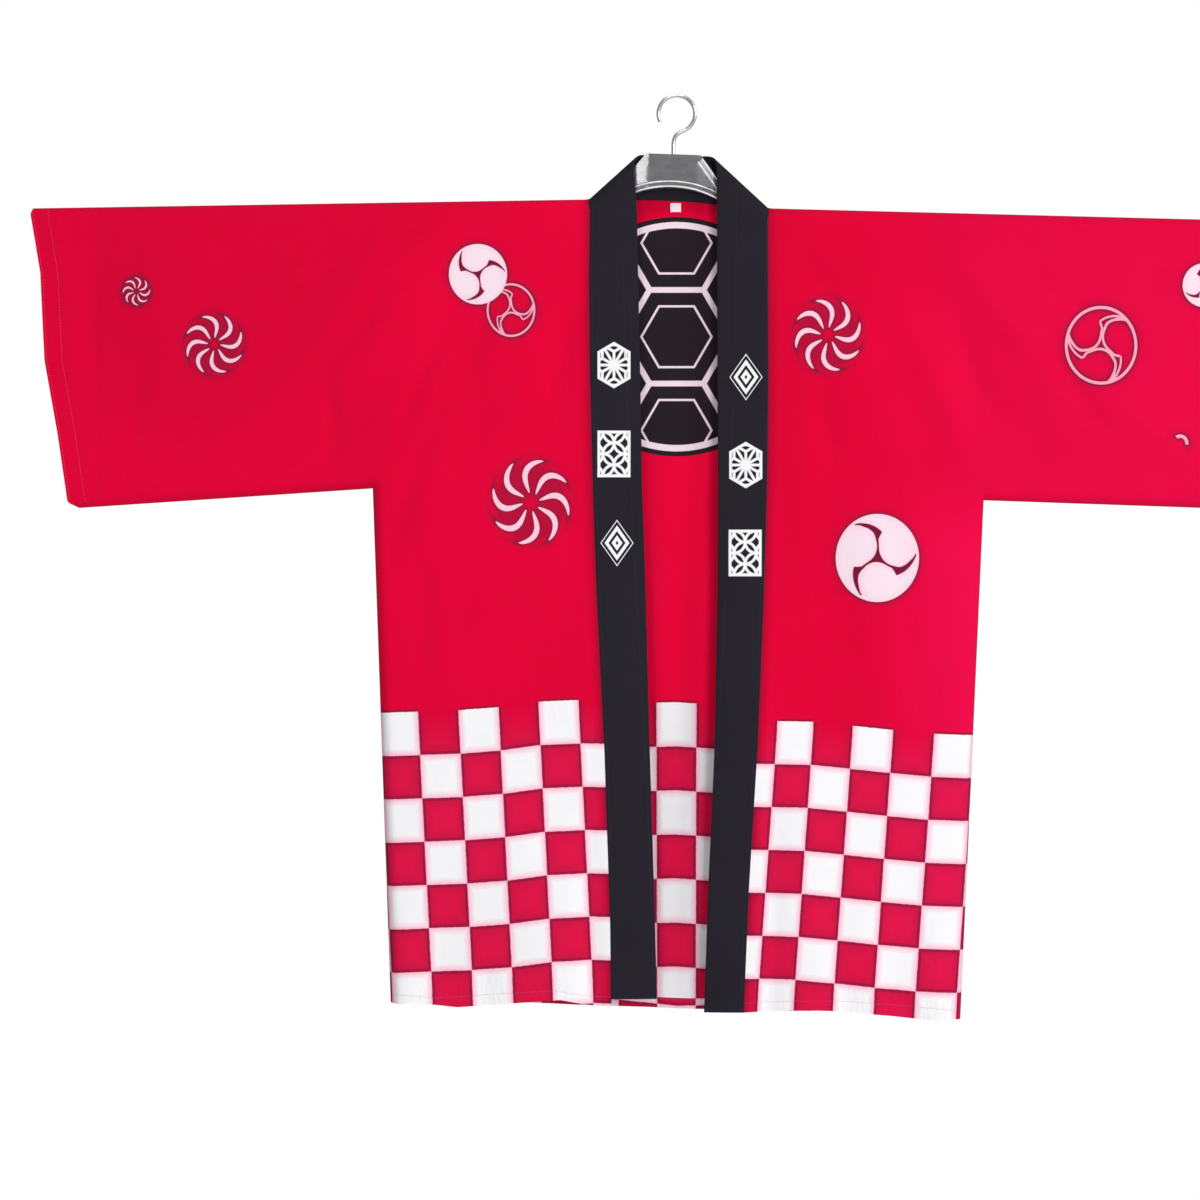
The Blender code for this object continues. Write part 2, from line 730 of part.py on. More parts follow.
def hanger_arm(side, material):
    """A straight round bar under the shoulder fold, from the yoke's foot into the sleeve."""
    foot = foot_reach(side) + BAR_GAP
    start = Vector((side.sign * foot, 0, bar_height(side, foot)))
    end = Vector((side.sign * BAR_END, 0, bar_height(side, BAR_END)))
    bm = bmesh.new()
    bmesh.ops.create_cone(
        bm,
        cap_ends=True,
        segments=BAR_SIDES,
        radius1=BAR_RADIUS,
        radius2=BAR_RADIUS,
        depth=(end - start).length,
    )
    obj = mesh_object("hanger_arm_" + side.name, bm, material)
    obj.location = (start + end) / 2
    obj.rotation_euler = (end - start).to_track_quat("Z", "Y").to_euler()
    bevel = obj.modifiers.new("rounded_ends", "BEVEL")
    bevel.width = BAR_EDGE
    bevel.segments = 2
    bevel.limit_method = "ANGLE"
    bevel.angle_limit = math.radians(60)
    obj.data.shade_smooth()
    return obj


def hook_path():
    """The wire's centre line: a shank out of the yoke, a bend to one side, then the open ring."""
    centre = Vector((0, 0, WIRE - HOOK_RADIUS))
    top = Vector((YOKE_X, 0, YOKE_TOP + SEAM_GAP))
    shank = top + Vector((0, 0, SHANK_RISE))
    first = math.radians(HOOK_START)
    ring_start = centre + HOOK_RADIUS * Vector((math.cos(first), 0, math.sin(first)))
    tangent = Vector((-math.sin(first), 0, math.cos(first)))
    handles = (
        shank,
        shank + Vector((0, 0, SHANK_BEND)),
        ring_start - RING_BEND * tangent,
        ring_start,
    )
    points = [top, shank]
    for step in range(1, BEND_STEPS):
        t = step / BEND_STEPS
        weights = ((1 - t) ** 3, 3 * t * (1 - t) ** 2, 3 * t * t * (1 - t), t**3)
        points.append(sum((w * h for w, h in zip(weights, handles)), Vector()))
    for step in range(RING_STEPS + 1):
        angle = math.radians(between(HOOK_START, HOOK_STOP, step / RING_STEPS))
        points.append(centre + HOOK_RADIUS * Vector((math.cos(angle), 0, math.sin(angle))))
    return points


def hanger_hook(material):
    curve = bpy.data.curves.new("hanger_hook", "CURVE")
    curve.dimensions = "3D"
    curve.bevel_depth = WIRE
    curve.bevel_resolution = 2
    curve.use_fill_caps = True
    curve.materials.append(material)
    points = hook_path()
    spline = curve.splines.new("POLY")
    spline.points.add(len(points) - 1)
    for place, point in zip(points, spline.points):
        point.co = (*place, 1)
    obj = bpy.data.objects.new("hanger_hook", curve)
    bpy.data.collections[COLLECTION].objects.link(obj)
    return obj


# ---------------------------------------------------------------- build


def make_material(name, colour, roughness, metallic=0.0):
    material = bpy.data.materials.new(name)
    material.use_nodes = True
    shader = material.node_tree.nodes["Principled BSDF"]
    shader.inputs["Base Color"].default_value = (*colour, 1)
    shader.inputs["Roughness"].default_value = roughness
    shader.inputs["Metallic"].default_value = metallic
    return material


def clear_scene():
    for obj in list(bpy.data.objects):
        bpy.data.objects.remove(obj, do_unlink=True)
    collection = bpy.data.collections.new(COLLECTION)
    bpy.context.scene.collection.children.link(collection)


def main():
    clear_scene()
    red = make_material("red_cotton", RED, 0.85)
    black = make_material("black_cotton", BLACK, 0.8)
    for side in SIDES:
        front_panel(side, red)
        sleeve(side, red)
        collar_front(side, black)
    back_panel(red)
    collar_neck(black)
    label(make_material("white_tab", WHITE, 0.7))
    plastic = make_material("hanger_plastic", PLASTIC, 0.25)
    hanger_yoke(plastic)
    for side in SIDES:
        hanger_arm(side, plastic)
    hanger_hook(make_material("hook_steel", STEEL, 0.3, 1.0))


main()
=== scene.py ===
"""A festival happi coat on its hanger: thin cotton shells, prints, stitching, hanger and stage.

Metres, +Z up, the coat's front towards -Y, the origin inside the hook's crown. Each cloth
piece repeats the form of its solid in finer steps and adds the smaller creases. Places across
the coat are a reach outward from x = 0, on the wearer's right (x < 0) or left (x > 0).
"""

import math
from collections import namedtuple

import bmesh
import bpy
import numpy as np
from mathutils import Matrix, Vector
from mathutils.geometry import delaunay_2d_cdt


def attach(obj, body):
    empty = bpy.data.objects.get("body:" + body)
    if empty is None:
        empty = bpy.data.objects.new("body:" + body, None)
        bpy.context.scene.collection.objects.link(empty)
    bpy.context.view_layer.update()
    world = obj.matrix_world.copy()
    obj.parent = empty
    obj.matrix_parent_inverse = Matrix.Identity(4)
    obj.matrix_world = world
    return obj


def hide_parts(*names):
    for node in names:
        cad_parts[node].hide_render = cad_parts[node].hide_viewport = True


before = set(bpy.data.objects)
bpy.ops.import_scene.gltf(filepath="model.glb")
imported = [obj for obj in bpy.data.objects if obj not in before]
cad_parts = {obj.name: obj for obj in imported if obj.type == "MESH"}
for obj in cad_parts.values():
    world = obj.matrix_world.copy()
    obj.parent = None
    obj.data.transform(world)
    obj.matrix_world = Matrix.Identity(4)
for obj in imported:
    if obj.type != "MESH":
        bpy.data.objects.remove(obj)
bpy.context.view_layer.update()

bl_info = {
    "name": "Happi coat on a hanger",
    "version": (1, 0, 0),
    "blender": (4, 5, 0),
    "location": "View3D > Sidebar > Happi coat",
    "description": "Builds the cloth, prints, hanger finish and stage of a festival happi coat",
    "category": "Object",
}

BODY = "root"

# ---------------------------------------------------------------- the coat's sizes

SHOULDER_ROUND = 0.012
SIDE_ROUND = 0.012
FOLD_DEPTH = 0.010
HEM_BAND = 0.011
HEM_STEP = 0.0004
CUFF_BAND = 0.020
SEAM_GAP = 0.00002
# heights over the hem, and distances from the cuff, of the rows in the turned-up cloth
HEM_ROWS = (HEM_BAND - HEM_STEP, 0.0080, 0.0045, 0.0015, 0.0)
CUFF_ROWS = (CUFF_BAND - HEM_STEP, 0.015, 0.010, 0.005, 0.0015, 0.0)
# usual lengths, which set how many rows there are: a body panel's above and below the underarm,
# a sleeve's depth and its run from armhole to cuff
UPPER_RUN = 0.28
LOWER_RUN = 0.52
SLEEVE_DROP = 0.27
SLEEVE_RUN = 0.33
BACK_SPACING = 1.2  # the back's spacing as a share of the other panels'
ROUND_POINTS = 9  # points round a rounded edge
BAND_POINTS = 11  # points across the band
BAND_EDGE_POINTS = 7  # points round each of its edges, ends included
SHOULDER_POINTS = 25  # rows of the band over a shoulder, ends included
NECK_POINTS = 22  # rows of the band across the back of the neck, ends included
# angles in degrees over which an edge is drawn sharp
SHARP_CLOTH = 50
SHARP_BAND = 60
SHARP_YOKE = 9

# One half of the coat: reach and height of the shoulder fold at the neck and at the cuff, of
# the underarm, of the sleeve's bottom fold at the cuff, and of the side seam at the hem.
Side = namedtuple(
    "Side", "name sign neck_x neck_z cuff_x cuff_z arm_x arm_z low_x low_z hem_x hem_z"
)
RIGHT = Side(
    "right", -1, 0.0896, -0.1056, 0.6644, -0.1148,
    0.3142, -0.4043, 0.6070, -0.4238, 0.2956, -0.9347,
)
LEFT = Side(
    "left", 1, 0.0937, -0.1148, 0.6640, -0.1294,
    0.3172, -0.4166, 0.6100, -0.4268, 0.2930, -0.9520,
)
SIDES = (RIGHT, LEFT)

FRONT_HEM = {
    "right": (
        (0.0680, -0.9378),
        (0.0896, -0.9371),
        (0.1277, -0.9308),
        (0.1617, -0.9332),
        (0.2493, -0.9389),
        (0.2956, -0.9347),
    ),
    "left": (
        (0.0690, -0.9442),
        (0.1267, -0.9417),
        (0.1597, -0.9417),
        (0.2040, -0.9442),
        (0.2430, -0.9477),
        (0.2930, -0.9520),
    ),
}
BACK_HEM = (
    (-0.2956, -0.9330),
    (-0.1500, -0.9375),
    (0.0, -0.9430),
    (0.1500, -0.9455),
    (0.2930, -0.9482),
)
# share of the sleeve's depth from the top, how far the cuff's edge lies in
CUFF_EDGE = (
    (0.0, 0.0),
    (0.02, -0.0021),
    (0.217, 0.0082),
    (0.507, 0.0124),
    (0.753, 0.0258),
    (0.98, 0.0360),
    (1.0, 0.0470),
)
# drop below the shoulder, half-depth of the front, half-depth of the back
BODY_DEPTH = (
    (0.0, 0.0100, 0.0100),
    (0.03, 0.0100, 0.0100),
    (0.15, 0.0115, 0.0110),
    (0.35, 0.0145, 0.0130),
    (0.60, 0.0165, 0.0145),
    (0.84, 0.0155, 0.0135),
)
SLEEVE_DEPTH = (
    (0.0, 0.0100, 0.0100),
    (0.03, 0.0100, 0.0100),
    (0.12, 0.0098, 0.0096),
    (0.30, 0.0085, 0.0085),
)
BODY_REACH = 0.24
SLEEVE_REACH = 0.42

# Soft ridges (height above 0) and troughs on each face, from one end to the other at true x.
# bow is how far the middle swings aside; runs_off is 1 where the fold keeps its height to a hem.
Fold = namedtuple("Fold", "x_top z_top x_low z_low width height runs_off bow")
FOLDS = {
    "front": (
        # the main folds
        (-0.205, -0.118, -0.395, -0.235, 0.020, 0.0026, 0, 0.0),
        (-0.225, -0.200, -0.315, -0.420, 0.018, 0.0032, 0, 0.0),
        (-0.170, -0.230, -0.262, -0.520, 0.022, -0.0018, 0, 0.0),
        (0.255, -0.130, 0.400, -0.300, 0.020, 0.0028, 0, 0.0),
        (0.205, -0.170, 0.322, -0.410, 0.020, 0.0032, 0, 0.0),
        (0.160, -0.250, 0.250, -0.540, 0.022, -0.0020, 0, 0.0),
        (-0.185, -0.620, -0.130, -0.935, 0.026, 0.0030, 1, 0.0),
        (-0.235, -0.700, -0.240, -0.938, 0.024, -0.0026, 1, 0.0),
        (0.120, -0.640, 0.140, -0.945, 0.026, 0.0028, 1, 0.0),
        (0.240, -0.700, 0.225, -0.947, 0.024, -0.0024, 1, 0.0),
        # drag lines from the wearer's right shoulder to the underarm
        (-0.243, -0.118, -0.338, -0.214, 0.010, -0.0026, 0, 0.006),
        (-0.256, -0.132, -0.414, -0.322, 0.014, -0.0036, 0, -0.010),
        (-0.214, -0.196, -0.300, -0.410, 0.012, -0.0042, 0, 0.012),
        (-0.236, -0.300, -0.300, -0.520, 0.012, -0.0020, 0, 0.010),
        (-0.104, -0.180, -0.122, -0.350, 0.014, -0.0030, 0, 0.006),
        (-0.118, -0.330, -0.108, -0.560, 0.014, -0.0016, 0, -0.005),
        (-0.150, -0.150, -0.200, -0.330, 0.013, 0.0016, 0, 0.008),
        (-0.274, -0.420, -0.262, -0.640, 0.014, -0.0017, 0, -0.006),
        (-0.180, -0.400, -0.196, -0.620, 0.018, 0.0014, 0, 0.006),
        # the wearer's right sleeve
        (-0.300, -0.150, -0.500, -0.236, 0.013, 0.0019, 0, 0.008),
        (-0.352, -0.205, -0.512, -0.352, 0.016, -0.0021, 0, -0.012),
        (-0.330, -0.330, -0.420, -0.404, 0.011, 0.0020, 0, 0.005),
        (-0.410, -0.162, -0.628, -0.196, 0.013, 0.0013, 0, -0.007),
        (-0.446, -0.318, -0.606, -0.388, 0.016, -0.0017, 0, 0.009),
        (-0.530, -0.210, -0.566, -0.400, 0.014, -0.0013, 0, 0.010),
        (-0.602, -0.150, -0.598, -0.330, 0.010, -0.0011, 0, 0.004),
        (-0.370, -0.262, -0.352, -0.398, 0.009, -0.0016, 0, -0.006),
        # drag lines from the wearer's left shoulder
        (0.104, -0.136, 0.196, -0.232, 0.020, -0.0028, 0, 0.008),
        (0.148, -0.268, 0.172, -0.412, 0.012, -0.0024, 0, 0.006),
        (0.214, -0.196, 0.296, -0.404, 0.017, 0.0009, 0, -0.014),
        (0.280, -0.196, 0.306, -0.398, 0.015, -0.0026, 0, -0.010),
        (0.262, -0.205, 0.340, -0.385, 0.017, -0.0024, 0, -0.009),
        (0.122, -0.300, 0.112, -0.560, 0.014, -0.0016, 0, 0.006),
        (0.226, -0.420, 0.262, -0.660, 0.015, -0.0018, 0, 0.008),
        (0.180, -0.440, 0.196, -0.640, 0.020, 0.0015, 0, -0.006),
        (0.292, -0.430, 0.288, -0.700, 0.013, 0.0016, 0, 0.004),
        # the wearer's left sleeve
        (0.330, -0.160, 0.520, -0.262, 0.013, -0.0018, 0, 0.009),
        (0.404, -0.296, 0.560, -0.404, 0.018, 0.0026, 0, -0.008),
        (0.372, -0.222, 0.470, -0.372, 0.012, -0.0022, 0, 0.012),
        (0.460, -0.170, 0.640, -0.224, 0.013, 0.0014, 0, -0.006),
        (0.500, -0.262, 0.612, -0.330, 0.014, -0.0015, 0, 0.006),
        (0.566, -0.220, 0.590, -0.400, 0.012, -0.0013, 0, -0.008),
        # above the fronts' hems
        (-0.088, -0.560, -0.086, -0.940, 0.011, -0.0026, 1, 0.003),
        (-0.116, -0.700, -0.104, -0.934, 0.013, 0.0017, 1, 0.004),
        (-0.205, -0.800, -0.196, -0.934, 0.012, -0.0016, 1, 0.002),
        (-0.272, -0.740, -0.278, -0.936, 0.012, 0.0015, 1, 0.003),
        (0.101, -0.560, 0.094, -0.945, 0.012, -0.0026, 1, -0.003),
        (0.176, -0.740, 0.172, -0.943, 0.013, -0.0016, 1, 0.004),
        (0.205, -0.800, 0.200, -0.945, 0.012, 0.0015, 1, -0.003),
        (0.272, -0.760, 0.268, -0.950, 0.012, 0.0015, 1, 0.002),
    ),
    "back": (
        (-0.190, -0.135, -0.330, -0.330, 0.024, 0.0024, 0, 0.0),
        (-0.150, -0.210, -0.300, -0.430, 0.020, 0.0028, 0, 0.0),
        (0.200, -0.140, 0.350, -0.320, 0.024, 0.0026, 0, 0.0),
        (0.140, -0.230, 0.300, -0.440, 0.020, 0.0026, 0, 0.0),
        (-0.160, -0.560, -0.185, -0.940, 0.030, 0.0030, 1, 0.0),
        (0.030, -0.600, 0.045, -0.944, 0.034, -0.0026, 1, 0.0),
        (0.190, -0.580, 0.205, -0.947, 0.030, 0.0030, 1, 0.0),
        (-0.235, -0.122, -0.330, -0.226, 0.011, -0.0024, 0, 0.006),
        (-0.210, -0.190, -0.302, -0.402, 0.011, -0.0027, 0, 0.011),
        (-0.110, -0.170, -0.190, -0.380, 0.015, -0.0017, 0, 0.009),
        (-0.250, -0.330, -0.292, -0.560, 0.013, -0.0018, 0, 0.008),
        (-0.060, -0.200, -0.110, -0.480, 0.018, 0.0013, 0, 0.008),
        (-0.318, -0.170, -0.500, -0.262, 0.013, 0.0018, 0, 0.008),
        (-0.360, -0.220, -0.520, -0.372, 0.015, -0.0020, 0, -0.010),
        (-0.470, -0.170, -0.620, -0.240, 0.012, -0.0012, 0, 0.006),
        (-0.560, -0.250, -0.580, -0.400, 0.012, 0.0013, 0, 0.007),
        (0.246, -0.130, 0.342, -0.240, 0.011, -0.0024, 0, -0.006),
        (0.222, -0.200, 0.302, -0.410, 0.011, -0.0027, 0, -0.011),
        (0.090, -0.200, 0.170, -0.420, 0.016, -0.0018, 0, -0.010),
        (0.262, -0.360, 0.290, -0.600, 0.013, -0.0017, 0, -0.008),
        (0.020, -0.260, 0.070, -0.560, 0.020, 0.0013, 0, 0.008),
        (0.336, -0.180, 0.510, -0.290, 0.013, 0.0018, 0, -0.008),
        (0.376, -0.250, 0.500, -0.396, 0.014, -0.0021, 0, 0.010),
        (0.480, -0.190, 0.630, -0.262, 0.012, -0.0013, 0, 0.006),
        (0.560, -0.250, 0.596, -0.400, 0.012, 0.0013, 0, -0.007),
        (-0.250, -0.700, -0.246, -0.934, 0.016, -0.0022, 1, 0.004),
        (-0.090, -0.660, -0.100, -0.940, 0.018, -0.0018, 1, -0.005),
        (-0.020, -0.720, -0.026, -0.943, 0.014, 0.0016, 1, 0.004),
        (0.110, -0.640, 0.120, -0.945, 0.018, -0.0020, 1, 0.006),
        (0.262, -0.720, 0.256, -0.948, 0.015, -0.0020, 1, -0.004),
        (-0.022, -0.400, -0.016, -0.700, 0.009, -0.0014, 0, 0.002),
        (0.004, -0.420, 0.008, -0.800, 0.008, 0.0013, 0, -0.002),
        (0.024, -0.380, 0.026, -0.660, 0.009, -0.0013, 0, 0.002),
    ),
}
# drops over which the creases set in below the shoulder fold
CREST_CLEAR = (0.004, 0.040)
# Broad swells on each face: centre, half length along and half width across, and lean of the
# line from straight down towards +x in degrees.
Broad = namedtuple("Broad", "x z long wide lean height")
BROAD = {
    "front": (
        (-0.325, -0.215, 0.130, 0.045, -42, 0.0054),
        (-0.590, -0.270, 0.140, 0.040, 3, -0.0044),
        (-0.455, -0.345, 0.060, 0.050, -30, 0.0018),
        (-0.130, -0.300, 0.130, 0.034, -6, -0.0024),
        (-0.215, -0.560, 0.120, 0.050, 4, 0.0020),
        (0.150, -0.180, 0.080, 0.050, 35, -0.0030),
        (0.150, -0.345, 0.090, 0.032, 6, -0.0034),
        (0.212, -0.400, 0.170, 0.050, 8, 0.0060),
        (0.335, -0.300, 0.110, 0.034, 16, -0.0034),
        (0.500, -0.350, 0.110, 0.055, 62, 0.0030),
        (0.600, -0.230, 0.100, 0.040, 0, -0.0022),
    ),
    "back": (
        (-0.320, -0.240, 0.140, 0.045, -40, 0.0036),
        (-0.560, -0.270, 0.120, 0.045, 0, -0.0026),
        (-0.140, -0.330, 0.150, 0.040, -8, -0.0026),
        (0.150, -0.330, 0.150, 0.040, 8, -0.0026),
        (0.320, -0.250, 0.140, 0.045, 40, 0.0036),
        (0.560, -0.280, 0.120, 0.045, 0, -0.0026),
        (-0.050, -0.700, 0.180, 0.050, -4, 0.0024),
        (0.220, -0.680, 0.180, 0.050, 4, 0.0022),
    ),
}
# Slow unevenness of hung cloth: x turns, z turns (radians a metre), start, height.
UNEVEN = (
    (31.0, 13.0, 0.4, 0.00030),
    (-19.0, 27.0, 1.9, 0.00028),
    (47.0, -22.0, 3.3, 0.00018),
    (12.0, 41.0, 5.1, 0.00020),
    (63.0, 38.0, 2.2, 0.00010),
)

NeckFold = namedtuple("NeckFold", "seam_x seam_z free_x free_z seam_creep free_creep")
NECK_FOLDS = {
    "right": NeckFold(0.0896, -0.1056, 0.0401, -0.0610, 0.009, 0.014),
    "left": NeckFold(0.0937, -0.1148, 0.0372, -0.0625, 0.009, 0.014),
}
# height, reach of the band's seam edge and of its free edge down each front
BAND_RUN = {
    "right": (
        (-0.0778, 0.0896, 0.0438),
        (-0.1190, 0.0896, 0.0412),
        (-0.1900, 0.0906, 0.0398),
        (-0.2800, 0.0897, 0.0380),
        (-0.4084, 0.0865, 0.0357),
        (-0.5011, 0.0833, 0.0325),
        (-0.6680, 0.0752, 0.0282),
        (-0.8534, 0.0690, 0.0226),
        (-0.9304, 0.0682, 0.0208),
    ),
    "left": (
        (-0.0793, 0.0935, 0.0407),
        (-0.1282, 0.0935, 0.0412),
        (-0.3000, 0.0941, 0.0418),
        (-0.4000, 0.0928, 0.0424),
        (-0.5200, 0.0892, 0.0417),
        (-0.6680, 0.0832, 0.0388),
        (-0.8160, 0.0742, 0.0322),
        (-0.9442, 0.0688, 0.0278),
    ),
}
BAND_FOOT = {"right": -0.9304, "left": -0.9442}
# how far the band's faces lie outside and inside the fronts' outer face
BAND_PROUD = 0.0007
BAND_DEEP = 0.0019
# how far the free edge rolls back, and the share of the run down by which it has done so
BAND_ROLL = 0.003
BAND_ROLL_SHARE = 0.2
BAND_EDGE = 0.0013  # half-width of the band's rounded edges
NECK_GAP = -0.0008  # how far out from the band's seam edge the cloth begins: it is tucked under
NECK_PULL = 0.050  # reach over which a front's shoulder fold is drawn to the band's fold
NECK_BOW = 0.005  # rise of the neck seam's arch

LABEL_SIZE = (0.0110, 0.0008, 0.0092)
LABEL_CENTRE = (-0.0009, -0.1132)
LABEL_GRID = (15, 13)
LABEL_FACE = FOLD_DEPTH - 0.0013  # y of the tab's far side, just off the back's inner face

YOKE_X = -0.0035
YOKE_TOP = -0.0593
YOKE_HALF = 0.0055
YOKE_LEAN = math.radians(1.9)
# reach, drop below the yoke's top, of its outer outline
YOKE_OUTLINE = (
    (0.0286, 0.0),
    (0.0482, 0.0250),
    (0.0543, 0.0360),
    (0.0640, 0.0440),
    (0.0640, 0.0720),
    (0.0510, 0.0720),
)
YOKE_ARCH_REACH = 0.0480
YOKE_ARCH_DROP = 0.0347
YOKE_ARCH_RADIUS = 0.108

RIGHT_ANGLE = 0.5 * math.pi
DEGREE = math.pi / 180
DIAGONAL = math.sqrt(0.5)
TINY = 1e-7


# ---------------------------------------------------------------- form


def between(low, high, share):
    return low + (high - low) * share


def eased(share):
    share = np.clip(share, 0.0, 1.0)
    return share * share * (3 - 2 * share)


def read_table(table, at, column=1):
    """The value in a column at these places, straight between the table's rows."""
    rows = sorted(table)
    return np.interp(at, [row[0] for row in rows], [row[column] for row in rows])


def ridge_height(side, reach):
    """Height of the shoulder fold."""
    share = (reach - side.neck_x) / (side.cuff_x - side.neck_x)
    return between(side.neck_z, side.cuff_z, share)


def sleeve_low(side, reach):
    """Height of the sleeve's bottom fold."""
    share = (reach - side.arm_x) / (side.low_x - side.arm_x)
    return between(side.arm_z, side.low_z, share)


def side_reach(side, height):
    """Reach of the armhole seam above the underarm and of the side seam below it."""
    share = (side.arm_z - height) / (side.arm_z - side.hem_z)
    return between(side.arm_x, side.hem_x, np.maximum(share, 0.0))


def broad_lift(broad, x, z):
    """A swell that is longest along its line and fades smoothly all round."""
    turn = math.radians(broad.lean)
    along = (x - broad.x) * math.sin(turn) - (z - broad.z) * math.cos(turn)
    across = (x - broad.x) * math.cos(turn) + (z - broad.z) * math.sin(turn)
    return broad.height * np.exp(-((along / broad.long) ** 2) - (across / broad.wide) ** 2)


def fold_lift(face, x, z):
    """What the creases add to a face's half-depth."""
    depth = coat_sizes().crease_depth
    lift = np.zeros_like(x)
    for broad in BROAD[face]:
        lift += broad_lift(Broad(*broad), x, z)
    for x_turn, z_turn, start, height in UNEVEN:
        lift += height * np.sin(x_turn * x + z_turn * z + start)
    for fold in (Fold(*row) for row in FOLDS[face]):
        run_x, run_z = fold.x_low - fold.x_top, fold.z_low - fold.z_top
        length = math.hypot(run_x, run_z)
        along = ((x - fold.x_top) * run_x + (z - fold.z_top) * run_z) / length**2
        across = ((x - fold.x_top) * run_z - (z - fold.z_top) * run_x) / length
        held = np.clip(along, 0.0, 1.0)
        beyond = (along - held) * length
        off = np.hypot(across - 4 * fold.bow * held * (1 - held), beyond) / fold.width
        turns = RIGHT_ANGLE if fold.runs_off else math.pi
        lift += depth * fold.height * np.sin(turns * held) ** 2 * np.exp(-off * off)
    return lift


def half_depth(face, side, reach, height):
    """How far a face stands off the plane y = 0, away from its rounded edges."""
    column = 1 if face == "front" else 2
    drop = ridge_height(side, reach) - height
    body = read_table(BODY_DEPTH, drop, column)
    sleeve = read_table(SLEEVE_DEPTH, drop, column)
    share = eased((reach - BODY_REACH) / (SLEEVE_REACH - BODY_REACH))
    clear = eased((drop - CREST_CLEAR[0]) / (CREST_CLEAR[1] - CREST_CLEAR[0]))
    return between(body, sleeve, share) + clear * fold_lift(face, side.sign * reach, height)


def wall(face, side, reach, height, turn, inward, cloth, stand_off=0.0):
    """Outer and inner points of the cloth.

    turn is 0 on the silhouette and a right angle where the cloth is flat; inward is the way in
    from the silhouette, in reach and height.
    """
    out = -1 if face == "front" else 1
    depth = stand_off + half_depth(face, side, reach, height) * np.sin(turn)
    step_in = cloth * np.cos(turn)
    outer = np.stack([side.sign * reach, out * depth, height], -1)
    inner = np.stack(
        [
            side.sign * (reach + step_in * inward[0]),
            out * (depth - cloth * np.sin(turn)),
            height + step_in * inward[1],
        ],
        -1,
    )
    return outer, inner


def edge_turn(side, from_side, height):
    """How far the face has turned from the silhouette, and the way in from it."""
    rise = np.maximum(height - side.arm_z, 0.0)
    distance = np.hypot(from_side, rise)
    safe = np.maximum(distance, TINY)
    below = height < side.arm_z - TINY
    in_reach = np.where(distance > TINY, -from_side / safe, np.where(below, -1.0, -DIAGONAL))
    in_rise = np.where(distance > TINY, rise / safe, np.where(below, 0.0, DIAGONAL))
    turn = np.arccos(np.clip(1 - distance / SIDE_ROUND, 0.0, 1.0))
    return turn, (in_reach, in_rise)


def round_steps():
    """Turns round a rounded edge, from the silhouette to the flat."""
    return np.linspace(0.0, RIGHT_ANGLE, ROUND_POINTS)


def side_columns():
    return SIDE_ROUND * (1 - np.cos(round_steps()))


def even_shares(length, spacing):
    """Shares after 0 and up to 1, about this far apart."""
    return np.linspace(0.0, 1.0, max(int(round(length / spacing)), 2) + 1)[1:]


Row = namedtuple("Row", "kind value in_hem")


def body_rows(spacing):
    """The rows below the shoulder's rounding, the same number on every body panel."""
    rows = [Row("upper", share, False) for share in even_shares(UPPER_RUN, spacing)[:-1]]
    rows += [Row("arm", turn, False) for turn in round_steps()[::-1]]
    rows += [Row("lower", share, False) for share in even_shares(LOWER_RUN, spacing)]
    rows += [Row("hem", height, True) for height in HEM_ROWS]
    return rows


def row_height(side, hem, row, reach):
    if row.kind == "upper":
        top = ridge_height(side, reach) - SHOULDER_ROUND
        return between(top, side.arm_z + SIDE_ROUND, row.value)
    if row.kind == "arm":
        return side.arm_z + SIDE_ROUND * (1 - math.cos(row.value)) + 0.0 * reach
    if row.kind == "lower":
        return between(side.arm_z, hem(reach) + HEM_BAND, row.value)
    return hem(reach) + row.value


def neck_frame(side):
    """The slanting fold's crest: its direction towards the free edge, and the way out."""
    fold = NECK_FOLDS[side.name]
    along = Vector((fold.free_x - fold.seam_x, fold.free_z - fold.seam_z)).normalized()
    out = Vector((-along.y, along.x))
    return fold, along, out if out.y > 0 else -out


def neck_curve(side, edge, angle):
    """Reach, y and height of the band's seam or free edge as it goes over the shoulder."""
    fold, along, out = neck_frame(side)
    crest = (fold.seam_x, fold.seam_z) if edge == "seam" else (fold.free_x, fold.free_z)
    creep = fold.seam_creep if edge == "seam" else fold.free_creep
    slide = creep * (angle / RIGHT_ANGLE - 1)
    lift = FOLD_DEPTH * (np.sin(angle) - 1)
    reach = crest[0] + along.x * slide + out.x * lift
    height = crest[1] + along.y * slide + out.y * lift
    return reach, -(SEAM_GAP / 2 + FOLD_DEPTH) * np.cos(angle), height


def neck_bow(share):
    """How far the neck seam arches over its chord, at this share of the way across the back."""
    return 4 * NECK_BOW * share * (1 - share)


def front_seam(side, height):
    return read_table(BAND_RUN[side.name], height, 1) + NECK_GAP


# ---------------------------------------------------------------- cloth grids

# A grid of cloth: outer and inner points, and for each point its height over the hem, or
# distance from the cuff, and its place in the checks.
Cloth = namedtuple("Cloth", "outer inner edge checks")


